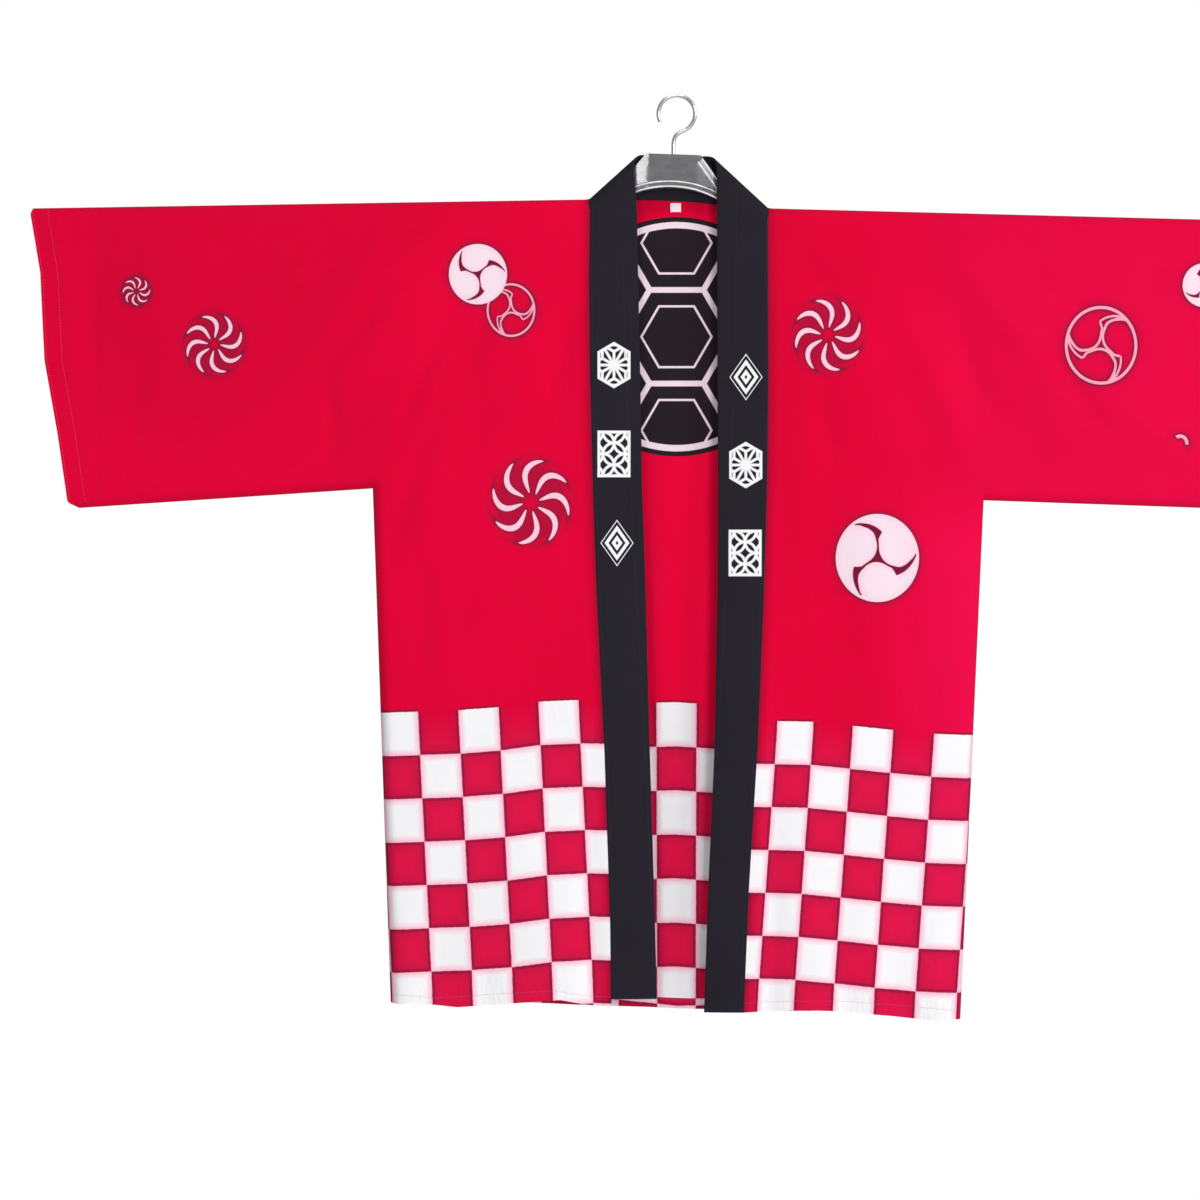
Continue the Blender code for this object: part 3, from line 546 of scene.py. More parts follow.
def front_grid(side):
    sizes = coat_sizes()
    spacing = sizes.spacing

    def hem(reach):
        return read_table(FRONT_HEM[side.name], reach)

    middle = np.concatenate([[0.0], even_shares(side.arm_x - side.neck_x, spacing)[:-1]])
    sides = side_columns()[::-1]
    outer, inner = [], []
    for turn in round_steps():
        drop = SHOULDER_ROUND * (1 - math.cos(turn))
        seam = neck_curve(side, "seam", RIGHT_ANGLE - turn)
        start = side.neck_x + NECK_GAP
        reach = between(start, side.arm_x - SIDE_ROUND, middle)
        pull = 1 - eased((reach - start) / NECK_PULL)
        height = ridge_height(side, reach) - drop + pull * (seam[2] - (side.neck_z - drop))
        reach = reach + pull * (seam[0] + NECK_GAP - start)
        far = side.arm_x - sides
        reach = np.concatenate([reach, far - SEAM_GAP / 2])
        height = np.concatenate([height, ridge_height(side, far) - drop])
        pair = wall("front", side, reach, height, turn, (0, -1), sizes.cloth, SEAM_GAP / 2)
        outer.append(pair[0])
        inner.append(pair[1])
    for row in body_rows(spacing):
        cloth = sizes.hem_cloth if row.in_hem else sizes.cloth
        first = front_seam(side, row_height(side, hem, row, side.neck_x))
        height = row_height(side, hem, row, between(first, side.arm_x, middle))
        seam = front_seam(side, height)
        flat = side_reach(side, height) - SIDE_ROUND - seam
        from_side = np.concatenate([SIDE_ROUND + flat * (1 - middle), sides])
        height = np.concatenate([height, row_height(side, hem, row, side.hem_x - sides)])
        turn, inward = edge_turn(side, from_side, height)
        reach = side_reach(side, height) - from_side - SEAM_GAP / 2
        pair = wall("front", side, reach, height, turn, inward, cloth, SEAM_GAP / 2)
        outer.append(pair[0])
        inner.append(pair[1])
    outer, inner = np.array(outer), np.array(inner)
    reach, height = np.abs(outer[..., 0]), outer[..., 2]
    edge = height - hem(reach)
    from_side = side_reach(side, height) - reach
    return Cloth(outer, inner, edge, front_checks(side, from_side, height))


# distance from the side seam, check columns, rise of the check rows
CHECK_SHAPE = {
    "right": (
        (0.0, 0.0, 0.0),
        (0.0414, 1.0, 0.0015),
        (0.0832, 2.0, 0.0030),
        (0.1246, 3.0, 0.0062),
        (0.1658, 4.0, 0.0118),
        (0.2070, 5.0, 0.0135),
        (0.2480, 6.0, 0.0128),
    ),
    "left": (
        (0.0, 0.0, 0.0),
        (0.0430, 1.0, 0.0017),
        (0.0855, 2.0, 0.0056),
        (0.1272, 3.0, 0.0100),
        (0.1679, 4.0, 0.0141),
        (0.2049, 5.0, 0.0147),
        (0.2420, 6.0, 0.0154),
    ),
}
# height of the first row's top at the side, depth of a row
CHECK_TOP = {"right": (-0.6360, 0.0446), "left": (-0.6590, 0.0442)}
# height, how far the outermost check line lies in from the side seam
CHECK_SLANT = {
    "right": ((-0.6360, -0.0019), (-0.9033, 0.0024)),
    "left": ((-0.6590, -0.0013), (-0.9239, 0.0058)),
}
BACK_CHECK_COLUMNS = 7.39
# x, height of the first row's top
BACK_CHECK_TOP = (
    (-0.306, -0.636),
    (-0.10, -0.6285),
    (0.0, -0.6257),
    (0.10, -0.6320),
    (0.306, -0.658),
)
BACK_CHECK_ROW = 0.0457


def front_checks(side, from_side, height):
    """Columns in from the side and rows down from the first row's top."""
    off = from_side - read_table(CHECK_SLANT[side.name], height)
    shape = CHECK_SHAPE[side.name]
    width = shape[1][0]
    column = np.where(off < 0, off / width, read_table(shape, off, 1))
    top, depth = CHECK_TOP[side.name]
    return np.stack([column, (top + read_table(shape, off, 2) - height) / depth], -1)


def back_checks(side, reach, height):
    """Columns from the middle one, whose centre is the middle of the back, and rows."""
    column = side.sign * BACK_CHECK_COLUMNS * reach / side_reach(side, height) + 0.5
    top = read_table(BACK_CHECK_TOP, side.sign * reach)
    return np.stack([column, (top - height) / BACK_CHECK_ROW], -1)


def back_hem(side, reach):
    return read_table(BACK_HEM, side.sign * reach)


def back_columns(side, spacing):
    """Reach, top height and first turn of one half's columns, from the side seam to the neck."""
    edge = side_columns()
    outer_reach = side.arm_x - edge - np.where(edge > 0, 0.0, SEAM_GAP / 2)
    shares = even_shares(side.arm_x - side.neck_x, spacing)[:-1][::-1]
    flat_reach = between(side.neck_x, side.arm_x - SIDE_ROUND, shares)
    angles = np.linspace(RIGHT_ANGLE, math.pi, ROUND_POINTS)
    neck_reach, _, neck_height = neck_curve(side, "seam", angles)
    reach = np.concatenate([outer_reach, flat_reach, neck_reach])
    edge_height, flat_height = (ridge_height(side, at) for at in (side.arm_x - edge, flat_reach))
    start = np.concatenate([edge_height, flat_height, neck_height - NECK_GAP])
    first = np.concatenate([0 * edge, 0 * flat_reach, angles - RIGHT_ANGLE])
    return reach, start, first


def back_halves(spacing):
    """Both halves' columns, with the stretch below the neck shared between them at x = 0."""
    halves = {side.name: back_columns(side, spacing) for side in SIDES}
    ends = {name: (half[0][-1], half[1][-1]) for name, half in halves.items()}
    low_x, high_x = -ends["right"][0], ends["left"][0]
    shares = even_shares(high_x - low_x, spacing)[:-1]
    across = between(low_x, high_x, shares)
    heights = between(ends["right"][1], ends["left"][1], shares) + neck_bow(shares)
    made = {}
    for side in SIDES:
        mine = across > 0 if side.sign > 0 else across <= 0
        order = slice(None, None, -1) if side.sign > 0 else slice(None)
        reach, start, first = halves[side.name]
        extra = np.abs(across[mine])[order]
        made[side.name] = (
            np.concatenate([reach, extra]),
            np.concatenate([start, heights[mine][order]]),
            np.concatenate([first, np.full(len(extra), RIGHT_ANGLE)]),
        )
    return made


def back_row(side, half, row, cloth):
    """One half of a row of the back below the shoulder's rounding."""
    reach, start, first = half
    other = LEFT if side is RIGHT else RIGHT
    gap = np.zeros_like(reach)
    gap[0] = SEAM_GAP / 2

    def hem(place):
        return back_hem(side, place)

    from_side = np.maximum(side.arm_x - reach - gap, 0.0)
    height = row_height(side, hem, row, reach)
    inside = (first > 0) | (from_side > SIDE_ROUND + TINY)
    from_side = np.where(inside, from_side / side.arm_x * side_reach(side, height), from_side)
    share = 0.5 * (1 - np.minimum(reach / side.neck_x, 1.0))
    level = between(height, row_height(other, hem, row, reach), share)
    if row.kind == "upper":
        shoulder = ridge_height(side, reach) - SHOULDER_ROUND
        level += np.where(first > 0, (start - SHOULDER_ROUND - shoulder) * (1 - row.value), 0.0)
    height = np.where(inside, level, height)
    turn, inward = edge_turn(side, from_side, height)
    place = side_reach(side, height) - from_side - gap
    return wall("back", side, place, height, turn, inward, cloth, SEAM_GAP / 2)


def back_grid():
    sizes = coat_sizes()
    spacing = sizes.spacing * BACK_SPACING
    halves = back_halves(spacing)
    steps = np.linspace(0.0, 1.0, ROUND_POINTS)
    outer, inner = [], []

    def add(rows):
        right, left = rows
        outer.append(np.concatenate([right[0], left[0][::-1]]))
        inner.append(np.concatenate([right[1], left[1][::-1]]))

    for step in steps:
        rows = []
        for side in SIDES:
            reach, start, first = halves[side.name]
            turn = between(first, RIGHT_ANGLE, step)
            height = start - SHOULDER_ROUND * (np.cos(first) - np.cos(turn))
            height = height - SHOULDER_ROUND * (1 - np.cos(first)) * step
            down = (0, -1)
            rows.append(wall("back", side, reach, height, turn, down, sizes.cloth, SEAM_GAP / 2))
        add(rows)
    for row in body_rows(spacing):
        cloth = sizes.hem_cloth if row.in_hem else sizes.cloth
        add([back_row(side, halves[side.name], row, cloth) for side in SIDES])
    outer, inner = np.array(outer), np.array(inner)
    x, height = outer[..., 0], outer[..., 2]
    edge = height - read_table(BACK_HEM, x)
    checks = np.where(
        (x > 0)[..., None],
        back_checks(LEFT, np.abs(x), height),
        back_checks(RIGHT, np.abs(x), height),
    )
    return Cloth(outer, inner, edge, checks)


def sleeve_grid(side):
    """Rings round the sleeve from the armhole to the cuff, down the front and up the back."""
    sizes = coat_sizes()
    turns = round_steps()
    middle = even_shares(SLEEVE_DROP, sizes.spacing)[:-1]
    kinds = np.array(["top"] * len(turns) + ["middle"] * len(middle) + ["low"] * len(turns))
    values = np.concatenate([turns, middle, turns[::-1]])
    kinds = np.concatenate([kinds, kinds[1:-1][::-1]])
    back = len(values)
    values = np.concatenate([values, values[1:-1][::-1]])

    def ring_height(reach):
        top, low = ridge_height(side, reach), sleeve_low(side, reach)
        rise = 1 - np.cos(values)
        height = between(top - SHOULDER_ROUND, low + SIDE_ROUND, values)
        height = np.where(kinds == "low", low + SIDE_ROUND * rise, height)
        return np.where(kinds == "top", top - SHOULDER_ROUND * rise, height)

    cuff_top, cuff_low = ridge_height(side, side.cuff_x), sleeve_low(side, side.cuff_x)
    at_cuff = ring_height(np.full(len(values), side.cuff_x))
    depth_share = (cuff_top - at_cuff) / (cuff_top - cuff_low)
    end = side.cuff_x - read_table(CUFF_EDGE, depth_share)
    start = side.arm_x + SEAM_GAP / 2
    turn = np.where(kinds == "middle", RIGHT_ANGLE, values)
    inward = (np.zeros_like(values), np.where(kinds == "low", 1.0, -1.0))
    shares = np.concatenate([[0.0], even_shares(SLEEVE_RUN, sizes.spacing)])
    sections = [(share, None) for share in shares] + [(1.0, off) for off in CUFF_ROWS]
    outer, inner, edge = [], [], []
    for share, off in sections:
        if off is None:
            reach = between(start, end - CUFF_BAND, share)
        else:
            reach = end - off
        cloth = sizes.cloth if off is None else sizes.hem_cloth
        height = ring_height(reach)
        front_pair = wall("front", side, reach, height, turn, inward, cloth)
        back_pair = wall("back", side, reach, height, turn, inward, cloth)
        outer.append(np.concatenate([front_pair[0][:back], back_pair[0][back:]]))
        inner.append(np.concatenate([front_pair[1][:back], back_pair[1][back:]]))
        edge.append(end - reach)
    outer, inner, edge = np.array(outer), np.array(inner), np.array(edge)
    return Cloth(outer, inner, edge, None)


# ---------------------------------------------------------------- meshes


def quads(rows, columns, ring, first, flip):
    """Corner numbers of a grid's quads, and the grid places that they read."""
    steps = columns if ring else columns - 1
    i, j = np.meshgrid(np.arange(rows - 1), np.arange(steps), indexing="ij")
    i, j = i.ravel(), j.ravel()
    corners = np.stack([i, j, i, j + 1, i + 1, j + 1, i + 1, j], -1).reshape(-1, 4, 2)
    if flip:
        corners = corners[:, ::-1]
    return first + corners[..., 0] * columns + corners[..., 1] % columns, corners


def rim(columns, line, steps, size, flip):
    """Quads that join the outer and the inner layer along one edge of the grid."""
    faces, corners = [], []
    for k in range(steps):
        a, b = line(k), line(k + 1)
        face = [
            a[0] * columns + a[1] % columns,
            b[0] * columns + b[1] % columns,
            size + b[0] * columns + b[1] % columns,
            size + a[0] * columns + a[1] % columns,
        ]
        corner = [a, b, b, a]
        faces.append(face[::-1] if flip else face)
        corners.append(corner[::-1] if flip else corner)
    return np.array(faces), np.array(corners)


def arc_map(points, ring):
    """Lengths along the cloth in metres: across the columns and down the rows."""
    wide = np.concatenate([points, points[:, :1]], 1) if ring else points
    across = np.linalg.norm(np.diff(wide, axis=1), axis=2)
    down = np.linalg.norm(np.diff(wide, axis=0), axis=2)
    u = np.concatenate([np.zeros((len(wide), 1)), np.cumsum(across, 1)], 1)
    v = np.concatenate([np.zeros((1, wide.shape[1])), np.cumsum(down, 0)], 0)
    if ring:
        return np.stack([u, v], -1)
    middle = wide.shape[1] // 2
    return np.stack([u - u[:, middle : middle + 1], v], -1)


def new_object(name, data):
    """A new object in the scene for a mesh, a light or a camera."""
    obj = bpy.data.objects.new(name, data)
    bpy.context.scene.collection.objects.link(obj)
    return obj


def closed_shell(name, outer, inner, maps, materials, ring=False):
    """A closed thin mesh from two layers of points, in a finish for each layer.

    Each map is a pair of grids of two values, for the outer and for the inner layer.
    """
    rows, columns = outer.shape[:2]
    size = rows * columns
    points = np.concatenate([outer.reshape(-1, 3), inner.reshape(-1, 3)])
    parts = [quads(rows, columns, ring, 0, False), quads(rows, columns, ring, size, True)]
    steps = columns if ring else columns - 1
    parts.append(rim(columns, lambda k: (0, k), steps, size, True))
    parts.append(rim(columns, lambda k: (rows - 1, k), steps, size, False))
    if not ring:
        parts.append(rim(columns, lambda k: (k, 0), rows - 1, size, False))
        parts.append(rim(columns, lambda k: (k, columns - 1), rows - 1, size, True))
    faces = np.concatenate([part[0] for part in parts])
    corners = np.concatenate([part[1] for part in parts])
    layer = np.concatenate([np.full(len(part[0]), k == 1) for k, part in enumerate(parts)])
    a, b, c, d = (points[faces[:, k]] for k in range(4))
    if np.sum(a * (np.cross(b, c) + np.cross(c, d))) < 0:
        faces, corners = faces[:, ::-1], corners[:, ::-1]
    mesh = bpy.data.meshes.new(name)
    mesh.from_pydata(points.tolist(), [], faces.tolist())
    for title, (outer_map, inner_map) in maps.items():
        held = mesh.uv_layers.new(name=title)
        i, j = corners[..., 0], corners[..., 1]
        j_map = j if ring else j % columns
        flat = np.where(layer[:, None, None], inner_map[i, j_map], outer_map[i, j_map])
        held.data.foreach_set("uv", flat.astype(np.float32).ravel())
    mesh.polygons.foreach_set("material_index", layer.astype(np.int32))
    mesh.polygons.foreach_set("use_smooth", np.ones(len(faces), bool))
    for material in materials:
        mesh.materials.append(material)
    mesh.update()
    mesh.set_sharp_from_angle(angle=math.radians(SHARP_CLOTH))
    return new_object(name, mesh)


def cloth_piece(name, cloth, materials, ring=False):
    """A cloth shell with its weave, edge and check maps.

    The hem's inner side shows the cloth that is turned up, so its checks run back from the fold.
    """
    weave = arc_map(cloth.outer, ring)
    edge = np.concatenate([cloth.edge, cloth.edge[:, :1]], 1) if ring else cloth.edge
    edge = np.stack([weave[..., 0], edge], -1)
    maps = {"weave": (weave, weave), "edge": (edge, edge)}
    if cloth.checks is not None:
        turned = cloth.checks.copy()
        hem_row = cloth.checks[-1:, :, 1]
        in_hem = cloth.edge < HEM_BAND - 0.5 * HEM_STEP
        turned[..., 1] = np.where(in_hem, 2 * hem_row - turned[..., 1], turned[..., 1])
        maps["checks"] = (cloth.checks, turned)
    return closed_shell(name, cloth.outer, cloth.inner, maps, materials, ring)


def band_ring(middle_points, normals, widths):
    """Rings round the band's cross-section, from the points across its middle plane.

    Each runs over the outer face, the rounded free edge, the inner face and the seam edge.
    """
    half = (BAND_PROUD + BAND_DEEP) / 2
    sink = (BAND_DEEP - BAND_PROUD) / 2
    rings = []
    for points, normal, across in zip(middle_points, normals, widths):
        centre = points - sink * normal
        inset = np.linspace(0.0, 1.0, len(points))
        squeeze = BAND_EDGE * (1 - 2 * inset)
        flat = centre + squeeze[:, None] * across
        turn = np.linspace(0.0, math.pi, BAND_EDGE_POINTS)[1:-1, None]
        free = flat[-1] + BAND_EDGE * np.sin(turn) * across + half * np.cos(turn) * normal
        seam = flat[0] - BAND_EDGE * np.sin(turn) * across - half * np.cos(turn) * normal
        near, far = flat + half * normal, flat - half * normal
        rings.append(np.concatenate([near, free, far[::-1], seam]))
    return np.array(rings)


def unit(vectors):
    return vectors / np.linalg.norm(vectors, axis=-1, keepdims=True)


def band_front_rows(side):
    """Points across the band and the way out of it, from the hem up to the shoulder fold."""
    spacing = coat_sizes().spacing
    run = neck_curve(side, "seam", 0.0)[2] - BAND_FOOT[side.name]
    across = np.linspace(0.0, 1.0, BAND_POINTS)
    rows = []
    for share in np.concatenate([even_shares(run, spacing)[::-1], [0.0]]):
        ends = []
        for column, edge in ((1, "seam"), (2, "free")):
            height = between(neck_curve(side, edge, 0.0)[2], BAND_FOOT[side.name], share)
            ends.append((read_table(BAND_RUN[side.name], height, column), height))
        reach = between(ends[0][0], ends[1][0], across)
        height = between(ends[0][1], ends[1][1], across)
        depth = SEAM_GAP / 2 + half_depth("front", side, reach, height)
        depth = depth - BAND_ROLL * across * across * eased(share / BAND_ROLL_SHARE)
        rows.append(np.stack([side.sign * reach, -depth, height], -1))
    return rows, [np.array([0.0, -1.0, 0.0])] * len(rows)


def band_fold_rows(side):
    """The band's rows over one shoulder, from the front to the back."""
    _, _, out = neck_frame(side)
    across = np.linspace(0.0, 1.0, BAND_POINTS)[:, None]
    rows, normals = [], []
    for angle in np.linspace(0.0, math.pi, SHOULDER_POINTS)[1:]:
        reach, y, height = neck_curve(side, "seam", angle)
        seam = np.array([side.sign * reach, y, height])
        reach, y, height = neck_curve(side, "free", angle)
        free = np.array([side.sign * reach, y, height])
        rows.append(between(seam, free, across))
        sine = math.sin(angle)
        normals.append(np.array([side.sign * out.x * sine, -math.cos(angle), out.y * sine]))
    return rows, normals


def band_grid():
    """The whole band: up the wearer's right front, round the neck and down the left front."""
    right, right_out = band_front_rows(RIGHT)
    over, over_out = band_fold_rows(RIGHT)
    left, left_out = band_front_rows(LEFT)
    back, back_out = band_fold_rows(LEFT)
    rows, normals = right + over, right_out + over_out
    shares = np.linspace(0.0, 1.0, NECK_POINTS)[1:-1]
    for share in shares:
        row = between(over[-1], back[-1], share)
        row[:, 2] += np.linspace(1.0, 0.0, len(row)) * neck_bow(share)
        rows.append(row)
    normals += [np.array([0.0, 1.0, 0.0])] * len(shares)
    rows += back[::-1] + left[::-1]
    normals += back_out[::-1] + left_out[::-1]
    across = [unit(row[-1] - row[0]) for row in rows]
    return band_ring(rows, normals, across)


# ---------------------------------------------------------------- finishes


class Wire:
    """A node's output that can be used in sums."""

    def __init__(self, finish, socket):
        self.finish = finish
        self.socket = socket

    def __add__(self, other):
        return self.finish.math("ADD", self, other)

    def __radd__(self, other):
        return self.finish.math("ADD", other, self)

    def __sub__(self, other):
        return self.finish.math("SUBTRACT", self, other)

    def __rsub__(self, other):
        return self.finish.math("SUBTRACT", other, self)

    def __mul__(self, other):
        return self.finish.math("MULTIPLY", self, other)

    def __rmul__(self, other):
        return self.finish.math("MULTIPLY", other, self)

    def __truediv__(self, other):
        return self.finish.math("DIVIDE", self, other)

    def __abs__(self):
        return self.finish.math("ABSOLUTE", self)

    def __lt__(self, other):
        return self.finish.math("LESS_THAN", self, other)

    def __gt__(self, other):
        return self.finish.math("GREATER_THAN", self, other)


class Finish:
    """A material's nodes. Every node but a sum's comes from add."""

    def __init__(self, name):
        self.material = bpy.data.materials.new(name)
        self.material.use_nodes = True
        self.tree = self.material.node_tree
        self.tree.nodes.clear()

    def add(self, kind, settings=None, values=None, output=0):
        node = self.tree.nodes.new(kind)
        for key, value in (settings or {}).items():
            setattr(node, key, value)
        for key, value in (values or {}).items():
            if isinstance(value, Wire):
                self.tree.links.new(value.socket, node.inputs[key])
            else:
                node.inputs[key].default_value = value
        return Wire(self, node.outputs[output]) if node.outputs else None

    def math(self, operation, *values, clamped=False):
        settings = {"operation": operation, "use_clamp": clamped}
        return self.add("ShaderNodeMath", settings, dict(enumerate(values)))

    def least(self, first, *others):
        for other in others:
            first = self.math("MINIMUM", first, other)
        return first

    def most(self, first, *others):
        for other in others:
            first = self.math("MAXIMUM", first, other)
        return first

    def held(self, value):
        """The value kept between 0 and 1."""
        return self.math("ADD", value, 0.0, clamped=True)

    def soft(self, inside, width=0.0007):
        """1 where a distance inside an edge is positive, over a soft edge this wide."""
        return self.held(inside / width + 0.5)

    def parts(self, vector):
        split = self.add("ShaderNodeSeparateXYZ", values={0: vector})
        node = split.socket.node
        return [Wire(self, node.outputs[k]) for k in range(3)]

    def place(self):
        """The point on the object, in metres."""
        return self.add("ShaderNodeTexCoord", output="Object")

    def map(self, title):
        return self.parts(self.add("ShaderNodeUVMap", {"uv_map": title}))[:2]

    def noise(self, vector, scale, detail=3.0, rough=0.5, stretch=None):
        if stretch:
            vector = self.add(
                "ShaderNodeVectorMath", {"operation": "MULTIPLY"}, {0: vector, 1: stretch}
            )
        return self.add(
            "ShaderNodeTexNoise",
            values={"Vector": vector, "Scale": scale, "Detail": detail, "Roughness": rough},
        )

    def blend(self, factor, first, second):
        """A colour from the first at 0 to the second at 1."""
        settings = {"data_type": "RGBA", "blend_type": "MIX"}
        return self.add("ShaderNodeMix", settings, {0: factor, 6: rgba(first), 7: rgba(second)}, 2)

    def map_noise(self, title, scale, detail=3.0, rough=0.5, stretch=None):
        """Noise over one of the cloth's maps."""
        at = self.add("ShaderNodeUVMap", {"uv_map": title})
        return self.noise(at, scale, detail, rough, stretch)

    def bump(self, height):
        values = {"Height": height, "Distance": 1.0, "Strength": 1.0}
        return self.add("ShaderNodeBump", values=values)

    def close(self, **values):
        """The surface: colour, roughness and normal vary, every other value is set as it is."""
        shader = self.add("ShaderNodeBsdfPrincipled", values=values)
        self.add("ShaderNodeOutputMaterial", values={"Surface": shader})
        return self.material


def rgba(colour):
    return colour if isinstance(colour, Wire) else (*tuple(colour)[:3], 1.0)


# Prints on the cloth: kind, x and z of the centre, half width, half height, turn of the first
# head or blade clockwise from up, and the way that the tails or blades trail.
Print = namedtuple("Print", "kind face x z wide high turn sense")


def local_polar(f, x, z, p):
    """Distance from a print's centre as a share of its size, and angle clockwise from up."""
    across = (x - p.x) / p.wide
    up = (z - p.z) / p.high
    radius = f.math("SQRT", across * across + up * up)
    # seen from behind, the print's right is the other way
    rightward = across * (1 if p.face == "front" else -1)
    return radius, f.math("ARCTAN2", rightward, up) * (180 / math.pi)


def folded(f, angle, count):
    """The angle from the nearest of so many equal spokes."""
    step = 360 / count
    return f.math("FLOORED_MODULO", angle + 0.5 * step, step) - 0.5 * step


def commas(f, x, z, p):
    """Three swirling commas, solid or drawn in line: distance inside them in metres."""
    radius, angle = local_polar(f, x, z, p)
    spoke = angle - p.turn
    near = folded(f, spoke, 3)
    # each head is a disc that runs on as a tail between the rim and a curved inner edge
    away = radius * radius + COMMA_SET * COMMA_SET
    away = away - 2 * COMMA_SET * radius * f.math("COSINE", near * DEGREE)
    # it swells a little outward, and again close to the ring
    swell, swell_from, swell_rate = COMMA_SWELL
    flare, flare_from, flare_run = COMMA_FLARE
    grow = swell * f.held((radius - swell_from) * swell_rate)
    grow = grow + flare * f.held((radius - flare_from) / flare_run)
    head = COMMA_HEAD + grow - f.math("SQRT", f.most(away, 0.0))
    trail = f.math("FLOORED_MODULO", spoke * p.sense, 120.0)
    rise = COMMA_ROOT + TAIL_RISE * f.most(trail - COMMA_TURN, 0.0)
    top, fall, fall_from = TAIL_TIP
    inner = f.least(rise, top - fall * f.most(trail - fall_from, 0.0))
    inner = inner - TAIL_DIP * f.most(COMMA_TURN - trail, 0.0)
    reach = f.least(*(turn + (radius - at) * rate for at, turn, rate in COMMA_SIDE))
    root = f.least((reach - trail) * DEGREE * radius, radius - COMMA_EYE)
    shape = f.most(head, radius - f.most(inner, TAIL_LEAST), root)
    if p.kind == "ring_commas":
        line = LINE_HALF - abs(shape) * 0.9
        ring = RING_HALF - abs(radius - RING_AT)
        shape = f.most(f.least(line, LINE_REACH - radius), ring)
    return f.least(shape, 1 - radius) * (0.5 * (p.wide + p.high))


def blades(f, x, z, p):
    """Eight curved blades: distance inside them in metres."""
    radius, angle = local_polar(f, x, z, p)
    run = (radius - BLADE_START) / BLADE_RUN
    first, second, third, fourth = BLADE_TRAIL
    trail = first + run * (second + run * (third + run * fourth))
    near = folded(f, angle * p.sense + trail - p.turn, 8)
    slope = (second + run * (2 * third + run * (3 * fourth))) * (DEGREE / BLADE_RUN) * radius
    off = radius * abs(near) * DEGREE / f.math("SQRT", slope * slope + 1)
    root, growth = BLADE_TAPER
    half = BLADE_HALF * (root + growth * run) * f.math("SQRT", f.most(4 * run * (1 - run), 0.0))
    inside = f.least(half - off, radius - BLADE_START, BLADE_START + BLADE_RUN - radius)
    return inside * (0.5 * (p.wide + p.high))


def arc_mark(f, x, z, p):
    """A short curved stroke, part of a ring: distance inside it in metres."""
    radius, angle = local_polar(f, x, z, p)
    half_turn, fade = ARC_END
    end = (half_turn - abs(folded(f, angle - p.turn, 1))) / fade
    return f.least(ARC_HALF - abs(radius - ARC_AT), end) * p.wide


FAR_CELLS = 30.0  # so that no cell's number is below 0


def triangle_shares(f, x, z, side):
    """Place in a lattice of equal triangles: shares of their height, least first, and it."""
    high = side * math.sqrt(3) / 2
    thirds = []
    for angle in (90, 210, 330):
        across, up = math.cos(math.radians(angle)), math.sin(math.radians(angle))
        thirds.append(f.math("FRACT", (x * across + z * up) / high + FAR_CELLS))
    upward = thirds[0] + thirds[1] + thirds[2] < 1.5
    shares = [third * upward + (1 - third) * (1 - upward) for third in thirds]
    low, top = f.least(*shares), f.most(*shares)
    return low, 1 - low - top, top, high


def star_lattice(f, x, z, side):
    """Distance in metres from the lines of a six-pointed hemp-leaf lattice."""
    low, middle, _, high = triangle_shares(f, x, z, side)
    return f.least(low * high, (middle - low) * (high / math.sqrt(3)))


def honeycomb(f, x, z, side):
    """Distance in metres from the lines of a honeycomb, its cells this far apart."""
    _, middle, top, high = triangle_shares(f, x, z, side)
    return (top - middle) * (high / math.sqrt(3))


def linked_circles(f, x, z, radius):
    """Distance in metres from the lines of overlapping circles."""
    across, up = (
        abs(f.math("FLOORED_MODULO", value + radius, 2 * radius) - radius) for value in (x, z)
    )
    near = f.math("SQRT", across * across + up * up)
    far_x, far_z = radius - across, radius - up
    far = f.math("SQRT", far_x * far_x + far_z * far_z)
    return f.least(abs(near - radius), abs(far - radius))


# The commas, in shares of a print's radius and in degrees. Their heads: how far out they are set
# and how big; by how much they swell, from which radius and at what rate; by how much they flare,
# from which radius and over what run; and the straight side as radius, degrees, degrees a radius.
COMMA_SET = 0.50
COMMA_HEAD = 0.405
COMMA_SWELL = (0.035, 0.42, 6)
COMMA_FLARE = (0.05, 0.78, 0.15)
COMMA_SIDE = ((0.25, 54.5, 120.0), (0.30, 56.0, 29.0), (0.42, 59.5, -41.7))
# The open eye, and a tail's inner edge: where it begins and at which turn, its rise a degree, its
# greatest radius with the fall a degree and the turn that this begins at, its dip a degree before
# it begins, and its least radius.
COMMA_EYE = 0.17
COMMA_ROOT = 0.60
COMMA_TURN = 52
TAIL_RISE = 0.0076
TAIL_TIP = (0.94, 0.012, 98)
TAIL_DIP = 0.08
TAIL_LEAST = 0.3
# commas in line: the lines' half-width and how far out they reach, the ring's half-width and place
LINE_HALF = 0.028
LINE_REACH = 0.95
RING_HALF = 0.038
RING_AT = 0.955
# the short stroke: its radius and half-width, the turn at which it ends and the fade there
ARC_AT = 0.8
ARC_HALF = 0.2
ARC_END = (70, 60)
# The blades' start and run, how many degrees they trail their tips as a cubic of the run, their
# half-width, its share at the root with its growth, and the ring with darker gaps between them.
BLADE_START = 0.22
BLADE_RUN = 0.81
BLADE_TRAIL = (23.5, 21.6, -15.0, -34.5)
BLADE_HALF = 0.078
BLADE_TAPER = (0.55, 0.6)
BLADE_GAP = (0.20, 0.93)
DRAWN = {"commas": commas, "ring_commas": commas, "blades": blades, "arc": arc_mark}

